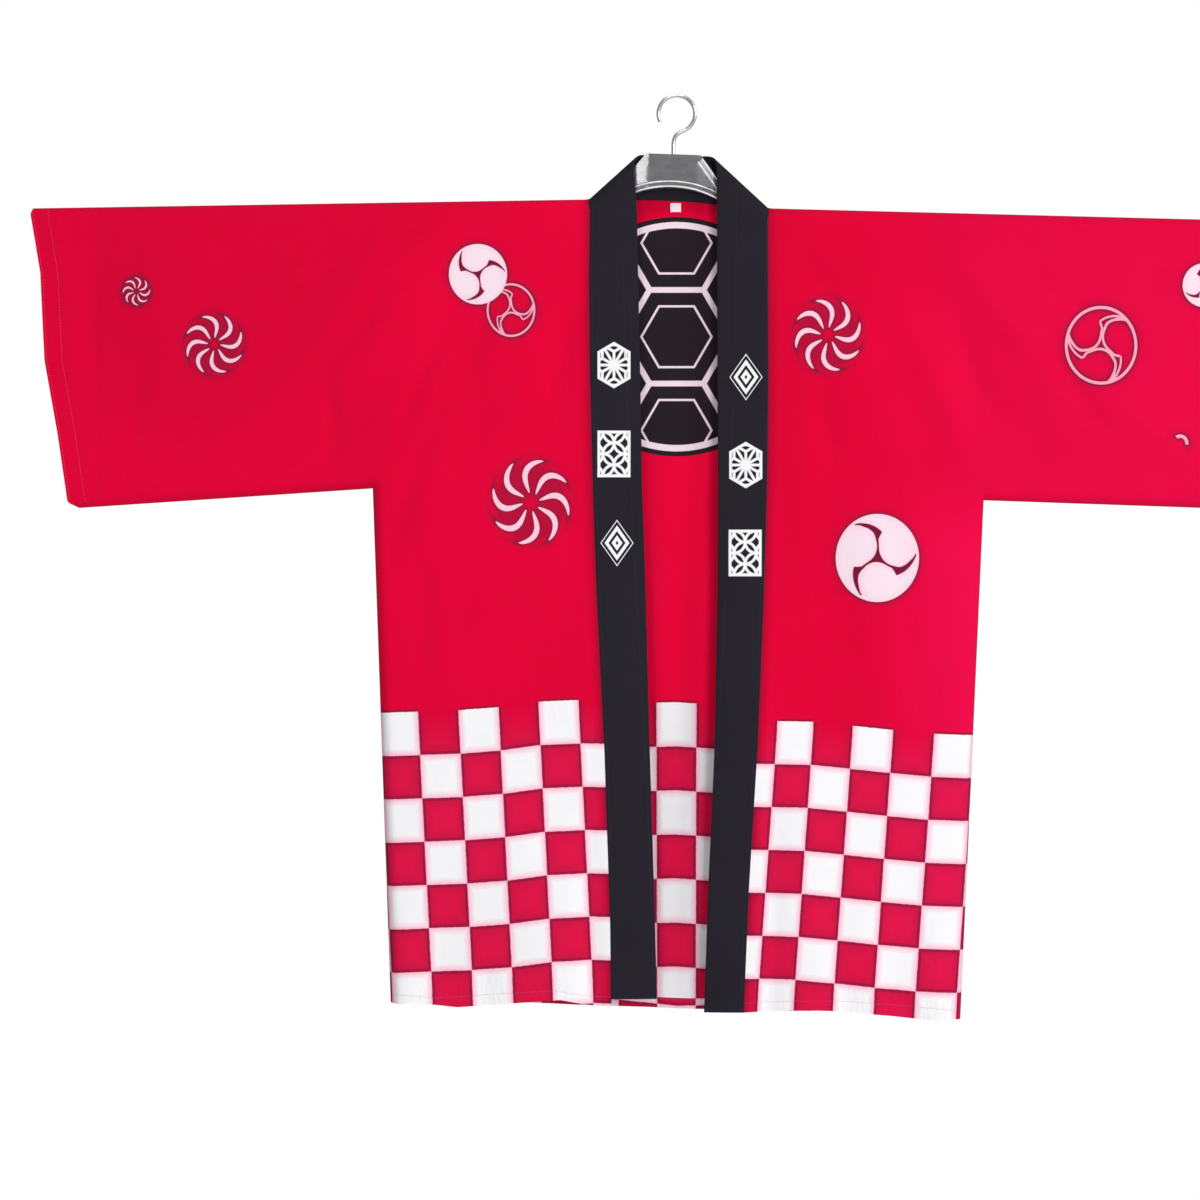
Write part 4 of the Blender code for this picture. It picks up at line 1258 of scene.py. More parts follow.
PRINTS = {
    "front_right": (
        Print("blades", "front", -0.1504, -0.4187, 0.0397, 0.0433, 12, 1),
        Print("ring_commas", "front", -0.1710, -0.2209, 0.0252, 0.0278, 58, -1),
        Print("commas", "front", -0.2050, -0.1839, 0.0299, 0.0311, -14, 1),
    ),
    "front_left": (
        Print("blades", "front", 0.1555, -0.2467, 0.0340, 0.0371, 14, -1),
        Print("commas", "front", 0.2060, -0.4764, 0.0427, 0.0453, 63, -1),
    ),
    "sleeve_right": (
        Print("blades", "front", -0.4769, -0.2560, 0.0294, 0.0301, 18, -1),
        Print("blades", "front", -0.5572, -0.2014, 0.0139, 0.0139, 0, -1),
        Print("commas", "back", -0.4050, -0.3080, 0.0300, 0.0310, 20, 1),
        Print("ring_commas", "back", -0.5400, -0.2350, 0.0360, 0.0380, 0, -1),
    ),
    "sleeve_left": (
        Print("ring_commas", "front", 0.4372, -0.2570, 0.0376, 0.0409, 65, 1),
        Print("commas", "front", 0.5438, -0.1952, 0.0227, 0.0227, 31, 1),
        Print("arc", "front", 0.5181, -0.3577, 0.0085, 0.0085, 35, 1),
        Print("blades", "back", 0.4350, -0.2500, 0.0330, 0.0350, 14, 1),
        Print("commas", "back", 0.5600, -0.3200, 0.0220, 0.0230, 10, -1),
    ),
    "back": (
        Print("blades", "back", -0.2150, -0.4700, 0.0380, 0.0410, 14, -1),
        Print("commas", "back", 0.2100, -0.2250, 0.0320, 0.0330, 0, 1),
        Print("ring_commas", "back", -0.2300, -0.2000, 0.0260, 0.0280, 60, 1),
        Print("blades", "back", 0.1950, -0.5150, 0.0300, 0.0320, 14, 1),
    ),
}
ROUNDEL = (0.0, -0.2467, 0.124)
ROUNDEL_RIM = (0.0085, 0.0033)  # how far in the rim line lies, and its half-width
ROUNDEL_CELL = 0.097
ROUNDEL_LINE = 0.0029
ROUNDEL_FINE = (0.0170, 0.0011)  # the same of the fine line inside each cell


WEAVE_HEIGHT = 0.00004
WEAVE_CORD = 0.4  # how strongly the threads down the cloth stand out as cords
STITCH_SHARE = 0.62  # share of a stitch's pitch that its thread shows


def weave_height(f, u, v):
    """Height of a plain weave's threads, over and under."""
    turn = 2 * math.pi / coat_sizes().thread
    across, along = f.math("SINE", u * turn), f.math("SINE", v * turn)
    return (across * along + WEAVE_CORD * across) * WEAVE_HEIGHT


def stitches(f, along, off, places, pitch=0.0032, half=0.0003):
    """1 on the running stitches of rows that lie at these distances off."""
    mask = None
    dash = (f.math("FRACT", along / pitch) < STITCH_SHARE) * 1.0
    for place in places:
        row = f.soft(half - abs(off - place), 0.0002)
        mask = row if mask is None else f.most(mask, row)
    return mask * dash


PRINT_INK = {"commas": "pale", "arc": "pink", "blades": "rose", "ring_commas": "pink"}
# Dark edging beside prints and white squares, and painted shade beside the band, the narrow line
# and then the wide one: how far it reaches, how softly it ends and how dark it is.
PRINT_EDGING = ((0.0024, 0.0034, 0.75), (0.0045, 0.0080, 0.34))
CHECK_EDGING = ((0.0032, 0.0016, 0.64), (0.0062, 0.0100, 0.27))
BAND_SHADE = ((0.0022, 0.0044, 0.45), (0.0055, 0.0110, 0.85))
GAP_DARK = 0.46
DISC_DARK = 0.88
# how far the pinker rims of white squares and solid prints reach in, how softly, how strongly
WHITE_RIM = (0.0032, 0.0068, 0.95)
PALE_RIM = (0.0035, 0.005, 0.55)


def print_masks(f, x, y, z, prints):
    """How far inside each colour's prints a place is, and the dark edge round them."""
    masks = dict.fromkeys(("pale", "rose", "pink", "disc", "gaps"))

    def join(group, inside, there):
        inside = inside * there - (1 - there)
        masks[group] = inside if masks[group] is None else f.most(masks[group], inside)

    for p in prints:
        there = (y * (-1 if p.face == "front" else 1) > 0) * 1.0
        join(PRINT_INK[p.kind], DRAWN[p.kind](f, x, z, p), there)
        if p.kind == "commas":
            join("disc", (1 - local_polar(f, x, z, p)[0]) * p.wide, there)
        if p.kind == "blades":
            radius = local_polar(f, x, z, p)[0]
            join("gaps", f.least(radius - BLADE_GAP[0], BLADE_GAP[1] - radius) * p.wide, there)
    disc, gaps = masks.pop("disc"), masks.pop("gaps")
    drawn = [mask for mask in masks.values() if mask is not None]
    nearest = f.most(*drawn)
    shares = [f.soft(nearest + reach, fade) * dark for reach, fade, dark in PRINT_EDGING]
    edge = f.most(*shares)
    if gaps is not None:
        edge = f.most(edge, f.soft(gaps, 0.004) * GAP_DARK)
    if disc is not None:
        edge = f.most(edge, f.soft(disc) * DISC_DARK)
    return {name: mask for name, mask in masks.items() if mask is not None}, edge


def red_ground(f, piece, place, off, broad, tone):
    """The crimson ground, from (x, y, z) and an edge map: a random broad tone, broad areas of
    painted shade and painted light on the fronts and sleeves, and at the cuffs a faint paler strip
    of painted light with faint dark lines.
    """
    colours = coat_colours()
    x, y, z = place
    # painted shade: darker on the wearer's left beyond x = 0.235 above the underarm, most near the
    # shoulder, and darker beside the band
    if piece in ("front_left", "sleeve_left"):
        chest, shoulder = f.soft(z + 0.29, 0.08), f.soft(z + 0.155, 0.05)
        upper = 0.38 + 0.14 * chest + 0.48 * shoulder
        tone = tone * (1 - upper * f.soft(x - 0.235, 0.07) * f.soft(z + 0.43, 0.06))
        tone = tone * (1 - 0.9 * f.soft(0.135 - x, 0.05) * f.soft(z + 0.44, 0.1))
    # the random tone, with the painted shade above, blends towards the deeper red
    colour = f.blend(tone, colours.red_deep_and_shade, colours.red)
    # painted light: paler towards the wearer's left side, more so low down
    if piece in ("front_left", "sleeve_left"):
        low = 0.45 + 0.55 * f.soft(-0.44 - z, 0.06)
        pale = f.soft(x - 0.26, 0.14) * (0.35 + 0.5 * broad) * low
        colour = f.blend(pale, colour, colours.red_painted_light)
    # painted shade: darker high on the wearer's right sleeve and chest, beyond a slanting line
    # from the shoulder, a little less at the cuff
    if piece in ("front_right", "sleeve_right"):
        slant_x, slant_z = SHADE_SLANT
        beyond = f.soft(slant_z * (z + 0.133) - slant_x * (x + 0.238), 0.08)
        above = beyond * f.soft(z + 0.335, 0.07)
        above = above * (0.85 + 0.15 * f.soft(CUFF_STRIP + x, 0.02)) * (y < 0)
        colour = f.blend(above * (0.35 + 0.5 * broad), colour, colours.red_deep_and_shade)
    # painted light: the cuff end is a little paler; faint dark lines run at the facing's edge and
    # where the turning ends
    if piece.startswith("sleeve"):
        strip = f.soft(abs(x) - CUFF_STRIP, 0.007)
        colour = f.blend(strip * 0.03, colour, colours.red_painted_light)
        facing = f.soft(0.002 - abs(abs(x) - CUFF_STRIP + 0.002), 0.005)
        turning = f.soft(0.0010 - abs(off - CUFF_LINE), 0.003)
        colour = f.blend(f.most(facing, turning) * 0.07, colour, colours.red_edge_and_shade)
    return colour


def red_inside(f, piece, x, z, colour):
    """The ground of the inner side, a little darker than the outer; on the back, painted shade
    towards x < 0, painted light towards x > 0, and painted shadow close under the neck.
    """
    colours = coat_colours()
    if piece != "back":
        return f.blend(0.15, colour, colours.red_deep_and_shade)
    # painted shade and painted light: darker towards x < 0, paler towards x > 0
    inner = f.blend(f.soft(x, 0.10), colours.red_deep_and_shade, colours.red_inside_painted_light)
    colour = f.blend(0.9, colour, inner)
    # painted shadow close under the neck
    return f.blend(f.soft(z + 0.124, 0.03) * 0.6, colour, colours.red_shadow)


def check_masks(f, place):
    """The white squares, the run below their first row's top, the distance to the nearest line
    between squares, and two shares of dark edging beside them."""
    column, row = f.map("checks")
    wander = (f.noise(place, 260.0, 2.0) - 0.5) * 0.020
    column, row = column + wander, row + wander
    run = row * CHECK_PITCH
    below = f.soft(run, 0.0006)
    first = f.most(row, 0.002)
    even = f.math("SINE", column * math.pi) * f.math("SINE", first * math.pi)
    from_column = abs(f.math("SINE", column * math.pi))
    from_row = abs(f.math("SINE", row * math.pi)) + (row < 0.5)
    gap = f.least(from_column, from_row) * (CHECK_PITCH / math.pi)
    sign = (even > 0) * 2.0 - 1.0
    white = f.soft(gap * sign, 0.0007) * below
    above = f.soft(0.0024 + run, 0.0016) * (1 - below)
    above = above * (f.math("SINE", column * math.pi) > 0)
    outside = below * (1 - white)
    (line, line_fade, line_dark), (wide, wide_fade, wide_dark) = CHECK_EDGING
    edging = f.most(f.soft(line - gap, line_fade) * outside, above)
    halo = f.soft(wide - gap, wide_fade) * outside
    return white, run, gap, (edging * line_dark, halo * wide_dark)


def red_cotton(name, piece, reverse=False):
    """Crimson cotton with its prints, checks, hem stitches, slubs and small wrinkles."""
    colours = coat_colours()
    sleeve = piece.startswith("sleeve")
    f = Finish(name)
    place = f.place()
    x, y, z = f.parts(place)
    along, off = f.map("edge")
    broad = f.noise(place, 7.0, 2.0)
    patch = f.noise(place, 34.0, 3.0)
    slub = f.map_noise("weave", 1.0, 2.0, 0.6, (2200.0, 130.0, 1.0))
    grain = f.map_noise("weave", 900.0, 2.0, 0.6)
    tone = f.held(broad * 0.9 + patch * 0.35 + slub * 0.25 - 0.3)
    colour = red_ground(f, piece, (x, y, z), off, broad, tone)
    if reverse:
        colour = red_inside(f, piece, x, z, colour)
    inks, dark = print_masks(f, x, y, z, PRINTS[piece])
    fade = 0.90 + 0.10 * grain
    white = 0.0
    if not sleeve:
        white, run, gap, edges = check_masks(f, place)
        dark = f.most(dark, *edges)
        colour = f.blend(f.soft(run - 0.022, 0.044) * 0.5, colour, colours.red_check)
    # painted shade on the fronts beside the band: a wide soft darkening and a narrow darker line
    if piece in BAND_SEAM:
        first, second, third, fourth = BAND_SEAM[piece]
        beside = first + z * (second + z * (third + z * fourth)) - abs(x)
        (line, line_fade, line_dark), (wide, wide_fade, wide_dark) = BAND_SHADE
        colour = f.blend(f.soft(wide + beside, wide_fade) * wide_dark, colour, colours.red_shadow)
        colour = f.blend(f.soft(line + beside, line_fade) * line_dark, colour, colours.red_edge_and_shade)
    colour = f.blend(dark, colour, colours.red_edge_and_shade)
    for shade in ("pink", "rose", "pale"):
        if shade in inks:
            ink = getattr(colours, "print_" + shade)
            if shade == "pale":
                reach, rim_fade, share = PALE_RIM
                rim = f.soft(reach - inks[shade], rim_fade) * share
                ink = f.blend(rim, ink, colours.print_rose)
            colour = f.blend(f.soft(inks[shade]) * fade, colour, ink)
    if not sleeve:
        paint = f.blend(patch, colours.white_shade, colours.white)
        reach, rim_fade, share = WHITE_RIM
        paint = f.blend(f.soft(reach - gap, rim_fade) * share, paint, colours.white_edge)
        colour = f.blend(white * fade, colour, paint)
    if piece == "back":
        colour = roundel(f, x, z, colour)
    rows = CUFF_STITCHES if sleeve else HEM_STITCHES
    sewn = stitches(f, along, off, rows)
    colour = f.blend(sewn * (0.16 + 0.34 * white), colour, colours.thread)
    small = f.noise(place, 62.0, 3.0, 0.55, (1.0, 1.0, 0.55))
    crumple = f.noise(place, 18.0, 2.0, 0.5, (1.0, 1.0, 0.7))
    height = weave_height(f, *f.map("weave")) + small * 0.0007 + crumple * 0.0016
    height = height + slub * 0.00005 - sewn * 0.00018
    pucker = f.map_noise("edge", 1.0, 1.0, 0.5, (260.0, 60.0, 1.0))
    height = height + pucker * f.soft(0.016 - abs(off - rows[0]), 0.012) * 0.0007
    return f.close(
        **{
            "Base Color": colour,
            "Roughness": f.held(0.80 + 0.16 * patch + 0.05 * grain),
            "Normal": f.bump(height),
            "Specular IOR Level": 0.06,
            "Sheen Weight": 0.015,
            "Sheen Roughness": 0.5,
        }
    )


# reach of the band's seam edge for a height z, as a cubic in z
BAND_SEAM = {
    "front_right": (0.0843, -0.0653, -0.1910, -0.1097),
    "front_left": (0.0884, -0.0543, -0.1294, -0.0524),
}
CHECK_PITCH = 0.0430
CUFF_STRIP = 0.5975  # reach from which the sleeve is painted a little paler, painted light near the cuff
CUFF_LINE = 0.0205  # distance from the cuff at which its turning ends
SHADE_SLANT = (0.757, 0.653)  # the way, out along the shoulder, to the right half's area of painted shade
# distances from the hem and from the cuff of their rows of stitches
HEM_STITCHES = (0.0096,)
CUFF_STITCHES = (0.0180, 0.0025)


def roundel(f, x, z, colour):
    """The back's large roundel: a dark disc with a pale rim line and a honeycomb lattice."""
    colours = coat_colours()
    centre_x, centre_z, radius = ROUNDEL
    across, up = x - centre_x, z - centre_z
    from_centre = f.math("SQRT", across * across + up * up)
    disc = f.soft(radius - from_centre)
    inset, rim_half = ROUNDEL_RIM
    fine_off, fine_half = ROUNDEL_FINE
    rim = f.soft(rim_half - abs(from_centre - (radius - inset)))
    off = honeycomb(f, up, across, ROUNDEL_CELL)
    lattice = f.most(f.soft(ROUNDEL_LINE - off), f.soft(fine_half - abs(off - fine_off)))
    lattice = lattice * f.soft(radius - inset - from_centre)
    colour = f.blend(disc * 0.99, colour, colours.print_dark)
    return f.blend(f.most(rim, lattice) * 0.94, colour, colours.print_pale)


# Ornaments down the band: kind, x and z of the centre; then their half-sizes and line widths.
ORNAMENTS = (
    ("star", -0.0649, -0.2776),
    ("circles", -0.0649, -0.3692),
    ("lozenge", -0.0618, -0.4609),
    ("lozenge", 0.0711, -0.2899),
    ("star", 0.0708, -0.3806),
    ("circles", 0.0701, -0.4712),
)
ORNAMENT_HALF = (0.0170, 0.0240)
ORNAMENT_CELL = (0.022, 0.030)  # half-width and half-height of the place kept for each
ORNAMENT_RIM = 0.0030
ORNAMENT_LINE = 0.0014
STAR_SIDE = 0.0240
STAR_POINT = 0.010
CIRCLE_RADIUS = 0.0113
LOZENGE_STEP = 0.0072
LOZENGE_LINE = 0.0020
# distances across the band of its two rows of stitches, and their pitch
BAND_STITCHES = (0.0024, 0.0420)
BAND_STITCH = 0.0030


def ornament(f, kind, x, z):
    """Distance inside one ornament in metres: nested lozenges, or a frame round a plain repeat."""
    wide, high = ORNAMENT_HALF
    if kind == "lozenge":
        reach = (abs(x) / wide + abs(z) / high) * wide
        ring = abs(f.math("FLOORED_MODULO", reach, LOZENGE_STEP) - LOZENGE_STEP / 2)
        return f.least(LOZENGE_LINE - ring, wide - reach)
    if kind == "star":
        slant = high * wide - STAR_POINT * abs(x) - wide * abs(z)
        inside = f.least(wide - abs(x), slant / math.hypot(STAR_POINT, wide))
        lattice = ORNAMENT_LINE - star_lattice(f, x, z, STAR_SIDE)
    else:
        inside = f.least(wide - abs(x), high - abs(z))
        lattice = ORNAMENT_LINE - linked_circles(f, x, z, CIRCLE_RADIUS)
    return f.most(f.least(lattice, inside), f.least(inside, ORNAMENT_RIM - inside))


def black_cotton(name):
    """Charcoal cotton of the collar band, with pale ornaments down both fronts."""
    colours = coat_colours()
    f = Finish(name)
    place = f.place()
    x, y, z = f.parts(place)
    along, off = f.map("edge")
    tone = f.held(f.noise(place, 16.0, 3.0) * 0.8 + f.noise(place, 400.0, 2.0) * 0.4 - 0.1)
    colour = f.blend(tone, colours.black, colours.black_pale)
    shapes = []
    for kind, centre_x, centre_z in ORNAMENTS:
        across, up = x - centre_x, z - centre_z
        shape = ornament(f, kind, across, up)
        here = f.least(ORNAMENT_CELL[0] - abs(across), ORNAMENT_CELL[1] - abs(up))
        shapes.append(f.least(shape, here))
    ink = f.soft(f.most(*shapes), 0.0006) * ((y < 0) * 1.0)
    colour = f.blend(ink * 0.94, colour, colours.print_white)
    sewn = stitches(f, along, off, BAND_STITCHES, BAND_STITCH)
    colour = f.blend(sewn * 0.3, colour, colours.black_thread)
    small = f.noise(place, 70.0, 3.0, 0.55)
    ridge = f.soft(0.0024 - off, 0.002) * 0.0002
    height = weave_height(f, *f.map("weave")) + small * 0.0006 - sewn * 0.0002 + ridge
    return f.close(
        **{
            "Base Color": colour,
            "Roughness": f.held(0.78 + 0.14 * tone),
            "Normal": f.bump(height),
            "Specular IOR Level": 0.12,
            "Sheen Weight": 0.02,
            "Sheen Roughness": 0.5,
        }
    )


TAB_RIB = (0.0004, 0.00002)  # pitch and height of the tab's ribs
TAB_STITCHES = (0.0036, 0.0018)  # how far over the tab's middle they lie, and their pitch
TAB_FOLD = 0.0014  # how far in the tab's folded edges reach


def woven_tab(name):
    """The tab's blank pale satin, sewn along its top."""
    f = Finish(name)
    place = f.place()
    x, _, z = f.parts(place)
    rib_pitch, rib_height = TAB_RIB
    rib = f.math("SINE", z * (2 * math.pi / rib_pitch)) * rib_height
    tone = f.noise(place, 700.0, 2.0)
    up = z - LABEL_CENTRE[1]
    edge = f.soft(LABEL_SIZE[2] / 2 - TAB_FOLD - abs(up), 0.0003)
    row, pitch = TAB_STITCHES
    sewn = f.soft(0.0002 - abs(up - row), 0.0001) * (f.math("FRACT", x / pitch) < 0.6)
    colour = f.blend(tone * 0.5 + (1 - edge) * 0.2, (0.90, 0.74, 0.81), (0.80, 0.62, 0.70))
    colour = f.blend(sewn * 0.5, colour, (0.45, 0.40, 0.42))
    relief = f.bump(rib + tone * 0.00003)
    return f.close(**{"Base Color": colour, "Roughness": 0.45 + 0.2 * tone, "Normal": relief})


PLASTIC_ROUGHNESS = 0.12
PAINTED_HIGHLIGHT_ROUGHNESS = 0.3


def moulded_plastic(name, low, high, rough):
    """Grey moulded plastic with a soft gloss, faint flow marks and light scuffs; in pale greys it
    serves as the painted highlights on the yoke's rim.
    """
    f = Finish(name)
    place = f.place()
    flow = f.noise(place, 60.0, 3.0, 0.5, (1.0, 1.0, 3.0))
    scuff = f.soft(f.noise(place, 900.0, 4.0, 0.7, (1.0, 1.0, 0.15)) - 0.66, 0.05)
    colour = f.blend(f.soft(flow - 0.4, 0.4), low, high)
    colour = f.blend(scuff * 0.25, colour, (0.30, 0.30, 0.31))
    grain = f.noise(place, 2600.0, 2.0)
    return f.close(
        **{
            "Base Color": colour,
            "Roughness": f.held(rough + 0.10 * flow + 0.15 * scuff),
            "Normal": f.bump(flow * 0.00004 + grain * 0.000002),
            "Specular IOR Level": 0.6,
        }
    )


def bright_steel(name):
    """Plated hook wire with drawing lines and a little tarnish."""
    f = Finish(name)
    place = f.place()
    lines = f.noise(place, 1500.0, 2.0, 0.6, (1.0, 8.0, 1.0))
    tarnish = f.noise(place, 90.0, 4.0)
    colour = f.blend(tarnish, (0.70, 0.70, 0.71), (0.50, 0.49, 0.48))
    return f.close(
        **{
            "Base Color": colour,
            "Metallic": 1.0,
            "Roughness": f.held(0.16 + 0.18 * tarnish + 0.06 * lines),
            "Normal": f.bump(lines * 0.00002),
        }
    )


def pale_floor(name):
    """Matt studio floor."""
    f = Finish(name)
    place = f.place()
    tone = f.noise(place, 1.2, 3.0)
    colour = f.blend(tone, (0.80, 0.80, 0.80), (0.86, 0.86, 0.86))
    return f.close(**{"Base Color": colour, "Roughness": 0.7 + 0.2 * tone})


# ---------------------------------------------------------------- settings


def length_property(name, description, default, **limits):
    return bpy.props.FloatProperty(
        name=name, description=description, default=default, precision=4, unit="LENGTH", **limits
    )


def power_property(name, description, default):
    return bpy.props.FloatProperty(
        name=name, description=description, default=default, min=0.0, unit="POWER"
    )


def colour_property(name, description, default):
    return bpy.props.FloatVectorProperty(
        name=name,
        description=description,
        default=default,
        min=0.0,
        max=1.0,
        size=3,
        subtype="COLOR",
    )


class CoatSizes(bpy.types.PropertyGroup):
    """Sizes of the cloth, its creases and its weave."""

    cloth: length_property("Cloth", "Thickness of one layer", 0.0007, min=0.0003, max=0.002)
    hem_cloth: length_property(
        "Hem", "Thickness where the cloth is turned up", 0.0016, min=0.0005, max=0.004
    )
    spacing: length_property(
        "Spacing", "Distance between the mesh's points", 0.004, min=0.003, max=0.02
    )
    crease_depth: bpy.props.FloatProperty(
        name="Crease depth",
        description="Depth of the creases as a share of the usual one",
        default=1.25,
        min=0.0,
        max=2.0,
        subtype="FACTOR",
    )
    thread: length_property("Thread", "Pitch of the weave", 0.0009, min=0.0003, max=0.003)


class CoatColours(bpy.types.PropertyGroup):
    """Colours of the cloth, prints, threads and hanger, with the painted shade, painted light and
    painted highlights.
    """

    red: colour_property("Red", "The crimson ground", (0.77, 0.0, 0.040))
    # the darker side of the random tone, also the colour of painted shade
    red_deep_and_shade: colour_property("Deep red", "The ground where it is darker", (0.61, 0.0, 0.030))
    # painted light: the paler red on the wearer's left side and at the cuffs
    red_painted_light: colour_property("Pale red", "The ground along the cuff", (0.80, 0.003, 0.088))
    # painted light: the back's inner side made paler than the cloth, towards x > 0
    red_inside_painted_light: colour_property("Inner red", "The back's inner side", (0.93, 0.001, 0.047))
    red_check: colour_property("Check red", "The ground among the checks", (0.64, 0.012, 0.078))
    red_shadow: colour_property("Shaded red", "The ground beside the band", (0.42, 0.0, 0.020))
    # the dark edge round the prints, also the painted shade line beside the band and the faint
    # cuff lines
    red_edge_and_shade: colour_property("Print edge", "The edge round the prints", (0.105, 0.008, 0.038))
    white: colour_property("White", "The white checks", (0.87, 0.90, 0.91))
    white_shade: colour_property("Shaded white", "Their duller patches", (0.84, 0.86, 0.88))
    white_edge: colour_property("Tinged white", "Their rims beside the red", (0.93, 0.44, 0.60))
    print_pale: colour_property("Pale print", "The solid prints", (0.868, 0.707, 0.787))
    print_rose: colour_property("Rose print", "The blades", (0.92, 0.55, 0.68))
    print_pink: colour_property("Pink print", "The line prints", (0.92, 0.36, 0.49))
    print_white: colour_property("White print", "The band's ornaments", (0.88, 0.88, 0.90))
    print_dark: colour_property("Dark print", "The back's roundel", (0.012, 0.0125, 0.018))
    black: colour_property("Black", "The collar band", (0.0098, 0.0084, 0.0135))
    black_pale: colour_property("Worn black", "The band's pale patches", (0.0190, 0.0150, 0.0250))
    thread: colour_property("Thread", "Stitches in the red cotton", (0.52, 0.30, 0.34))
    black_thread: colour_property("Band thread", "Stitches in the band", (0.06, 0.06, 0.07))
    plastic: colour_property("Plastic", "The hanger", (0.105, 0.105, 0.112))
    plastic_pale: colour_property("Pale plastic", "Its flow marks", (0.135, 0.135, 0.142))
    # painted highlights: the pale greys of the yoke's rim lines, which stand in for light
    # reflected off the rim's edges
    plastic_painted_highlight_dim: colour_property("Rubbed plastic", "Its rubbed edges", (0.50, 0.50, 0.52))
    plastic_worn: colour_property("Worn plastic", "Where those are worn", (0.80, 0.80, 0.82))


class StageSettings(bpy.types.PropertyGroup):
    """The camera, the floor and the lights."""

    distance: length_property("Distance", "From the camera to the coat", 3.5, min=1.0)
    frame_width: length_property("Frame", "Width of the view at the coat", 1.236, min=0.2)
    floor: length_property("Floor", "Height of the floor", -1.9)
    daylight: bpy.props.FloatProperty(
        name="Surround", description="Strength of the pale surround", default=0.33, min=0.0
    )
    key: power_property("Key light", "Power of the light high on the right", 99.0)
    front: power_property("Front light", "Power of the light beside the camera", 68.0)
    side: power_property("Side light", "Power of the small light on the left", 12.5)
    top: power_property("Top light", "Power of the narrow light overhead", 13.0)


def coat_sizes():
    return bpy.context.scene.happi_sizes


def coat_colours():
    return bpy.context.scene.happi_colours


# ---------------------------------------------------------------- pieces


def carry(piece, slot, *nodes):
    """Lets a piece stand for its solids, which it hides, and move with the coat."""
    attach(piece, BODY)
    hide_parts(*nodes)


def red_finishes(piece):
    """The red cotton of a piece's outer and of its inner side."""
    return [red_cotton(piece + "_face", piece), red_cotton(piece + "_reverse", piece, True)]


class HAPPI_OT_fronts(bpy.types.Operator):
    """Builds both fronts in crimson cotton"""

    bl_idname = "happi.fronts"
    bl_label = "Fronts"

    def execute(self, context):
        for side in SIDES:
            name = "front_" + side.name
            piece = cloth_piece(name + "_cloth", front_grid(side), red_finishes(name))
            carry(piece, "red_cotton", name)
        return {"FINISHED"}


class HAPPI_OT_sleeves(bpy.types.Operator):
    """Builds both sleeves as tubes of crimson cotton"""

    bl_idname = "happi.sleeves"
    bl_label = "Sleeves"

    def execute(self, context):
        for side in SIDES:
            name = "sleeve_" + side.name
            cloth = sleeve_grid(side)
            piece = cloth_piece(name + "_cloth", cloth, red_finishes(name), ring=True)
            carry(piece, "red_cotton", name)
        return {"FINISHED"}


class HAPPI_OT_back(bpy.types.Operator):
    """Builds the back in crimson cotton and its woven tab"""

    bl_idname = "happi.back"
    bl_label = "Back and tab"

    def execute(self, context):
        piece = cloth_piece("back_cloth", back_grid(), red_finishes("back"))
        carry(piece, "red_cotton", "back")
        tab = tab_piece(woven_tab("woven_tab"))
        carry(tab, "white_tab", "label")
        return {"FINISHED"}


def tab_piece(finish):
    """A small woven tab against the back's inner side, thickest in its middle."""
    wide, thick, high = LABEL_SIZE
    columns, rows = LABEL_GRID
    across = np.linspace(-0.5, 0.5, columns)
    outer, inner = [], []
    for share in np.linspace(0.0, 1.0, rows):
        x = LABEL_CENTRE[0] + across * wide * (1 - 0.02 * share)
        z = LABEL_CENTRE[1] + high / 2 - share * high + 0.0002 * np.cos(3 * across)
        lift = thick * (0.55 + 0.45 * np.sin(math.pi * share)) * np.cos(across * math.pi * 0.55)
        lift = np.maximum(lift, 0.25 * thick)
        level = np.full_like(x, LABEL_FACE)
        outer.append(np.stack([x, level - lift, z], -1))
        inner.append(np.stack([x, level, z], -1))
    outer, inner = np.array(outer), np.array(inner)
    weave = arc_map(outer, False)
    return closed_shell("woven_tab", outer, inner, {"weave": (weave, weave)}, [finish, finish])


class HAPPI_OT_band(bpy.types.Operator):
    """Builds the collar band, one strip up both fronts and round the neck"""

    bl_idname = "happi.band"
    bl_label = "Collar band"

    def execute(self, context):
        rings = band_grid()
        piece = band_piece("collar_band", rings, black_cotton("black_cotton_face"))
        carry(piece, "black_cotton", "collar_right", "collar_left", "collar_neck")
        return {"FINISHED"}


def band_piece(name, rings, finish):
    """A closed strip through the rings, its ends shut."""
    rows, columns = rings.shape[:2]
    weave = arc_map(rings, True)
    edge = weave[..., ::-1]
    faces, corners = quads(rows, columns, True, 0, False)
    mesh = bpy.data.meshes.new(name)
    caps = [range(columns), range((rows - 1) * columns, rows * columns)]
    bm = bmesh.new()
    verts = [bm.verts.new(point) for point in rings.reshape(-1, 3)]
    layers = {title: bm.loops.layers.uv.new(title) for title in ("weave", "edge")}
    for face, corner in zip(faces, corners):
        made = bm.faces.new([verts[k] for k in face])
        made.smooth = True
        for loop, (i, j) in zip(made.loops, corner):
            loop[layers["weave"]].uv = weave[i, j]
            loop[layers["edge"]].uv = edge[i, j]
    for cap in caps:
        bm.faces.new([verts[k] for k in cap])
    bmesh.ops.recalc_face_normals(bm, faces=bm.faces)
    bmesh.ops.triangulate(bm, faces=[face for face in bm.faces if len(face.verts) > 4])
    bm.to_mesh(mesh)
    bm.free()
    mesh.materials.append(finish)
    mesh.set_sharp_from_angle(angle=math.radians(SHARP_BAND))
    return new_object(name, mesh)


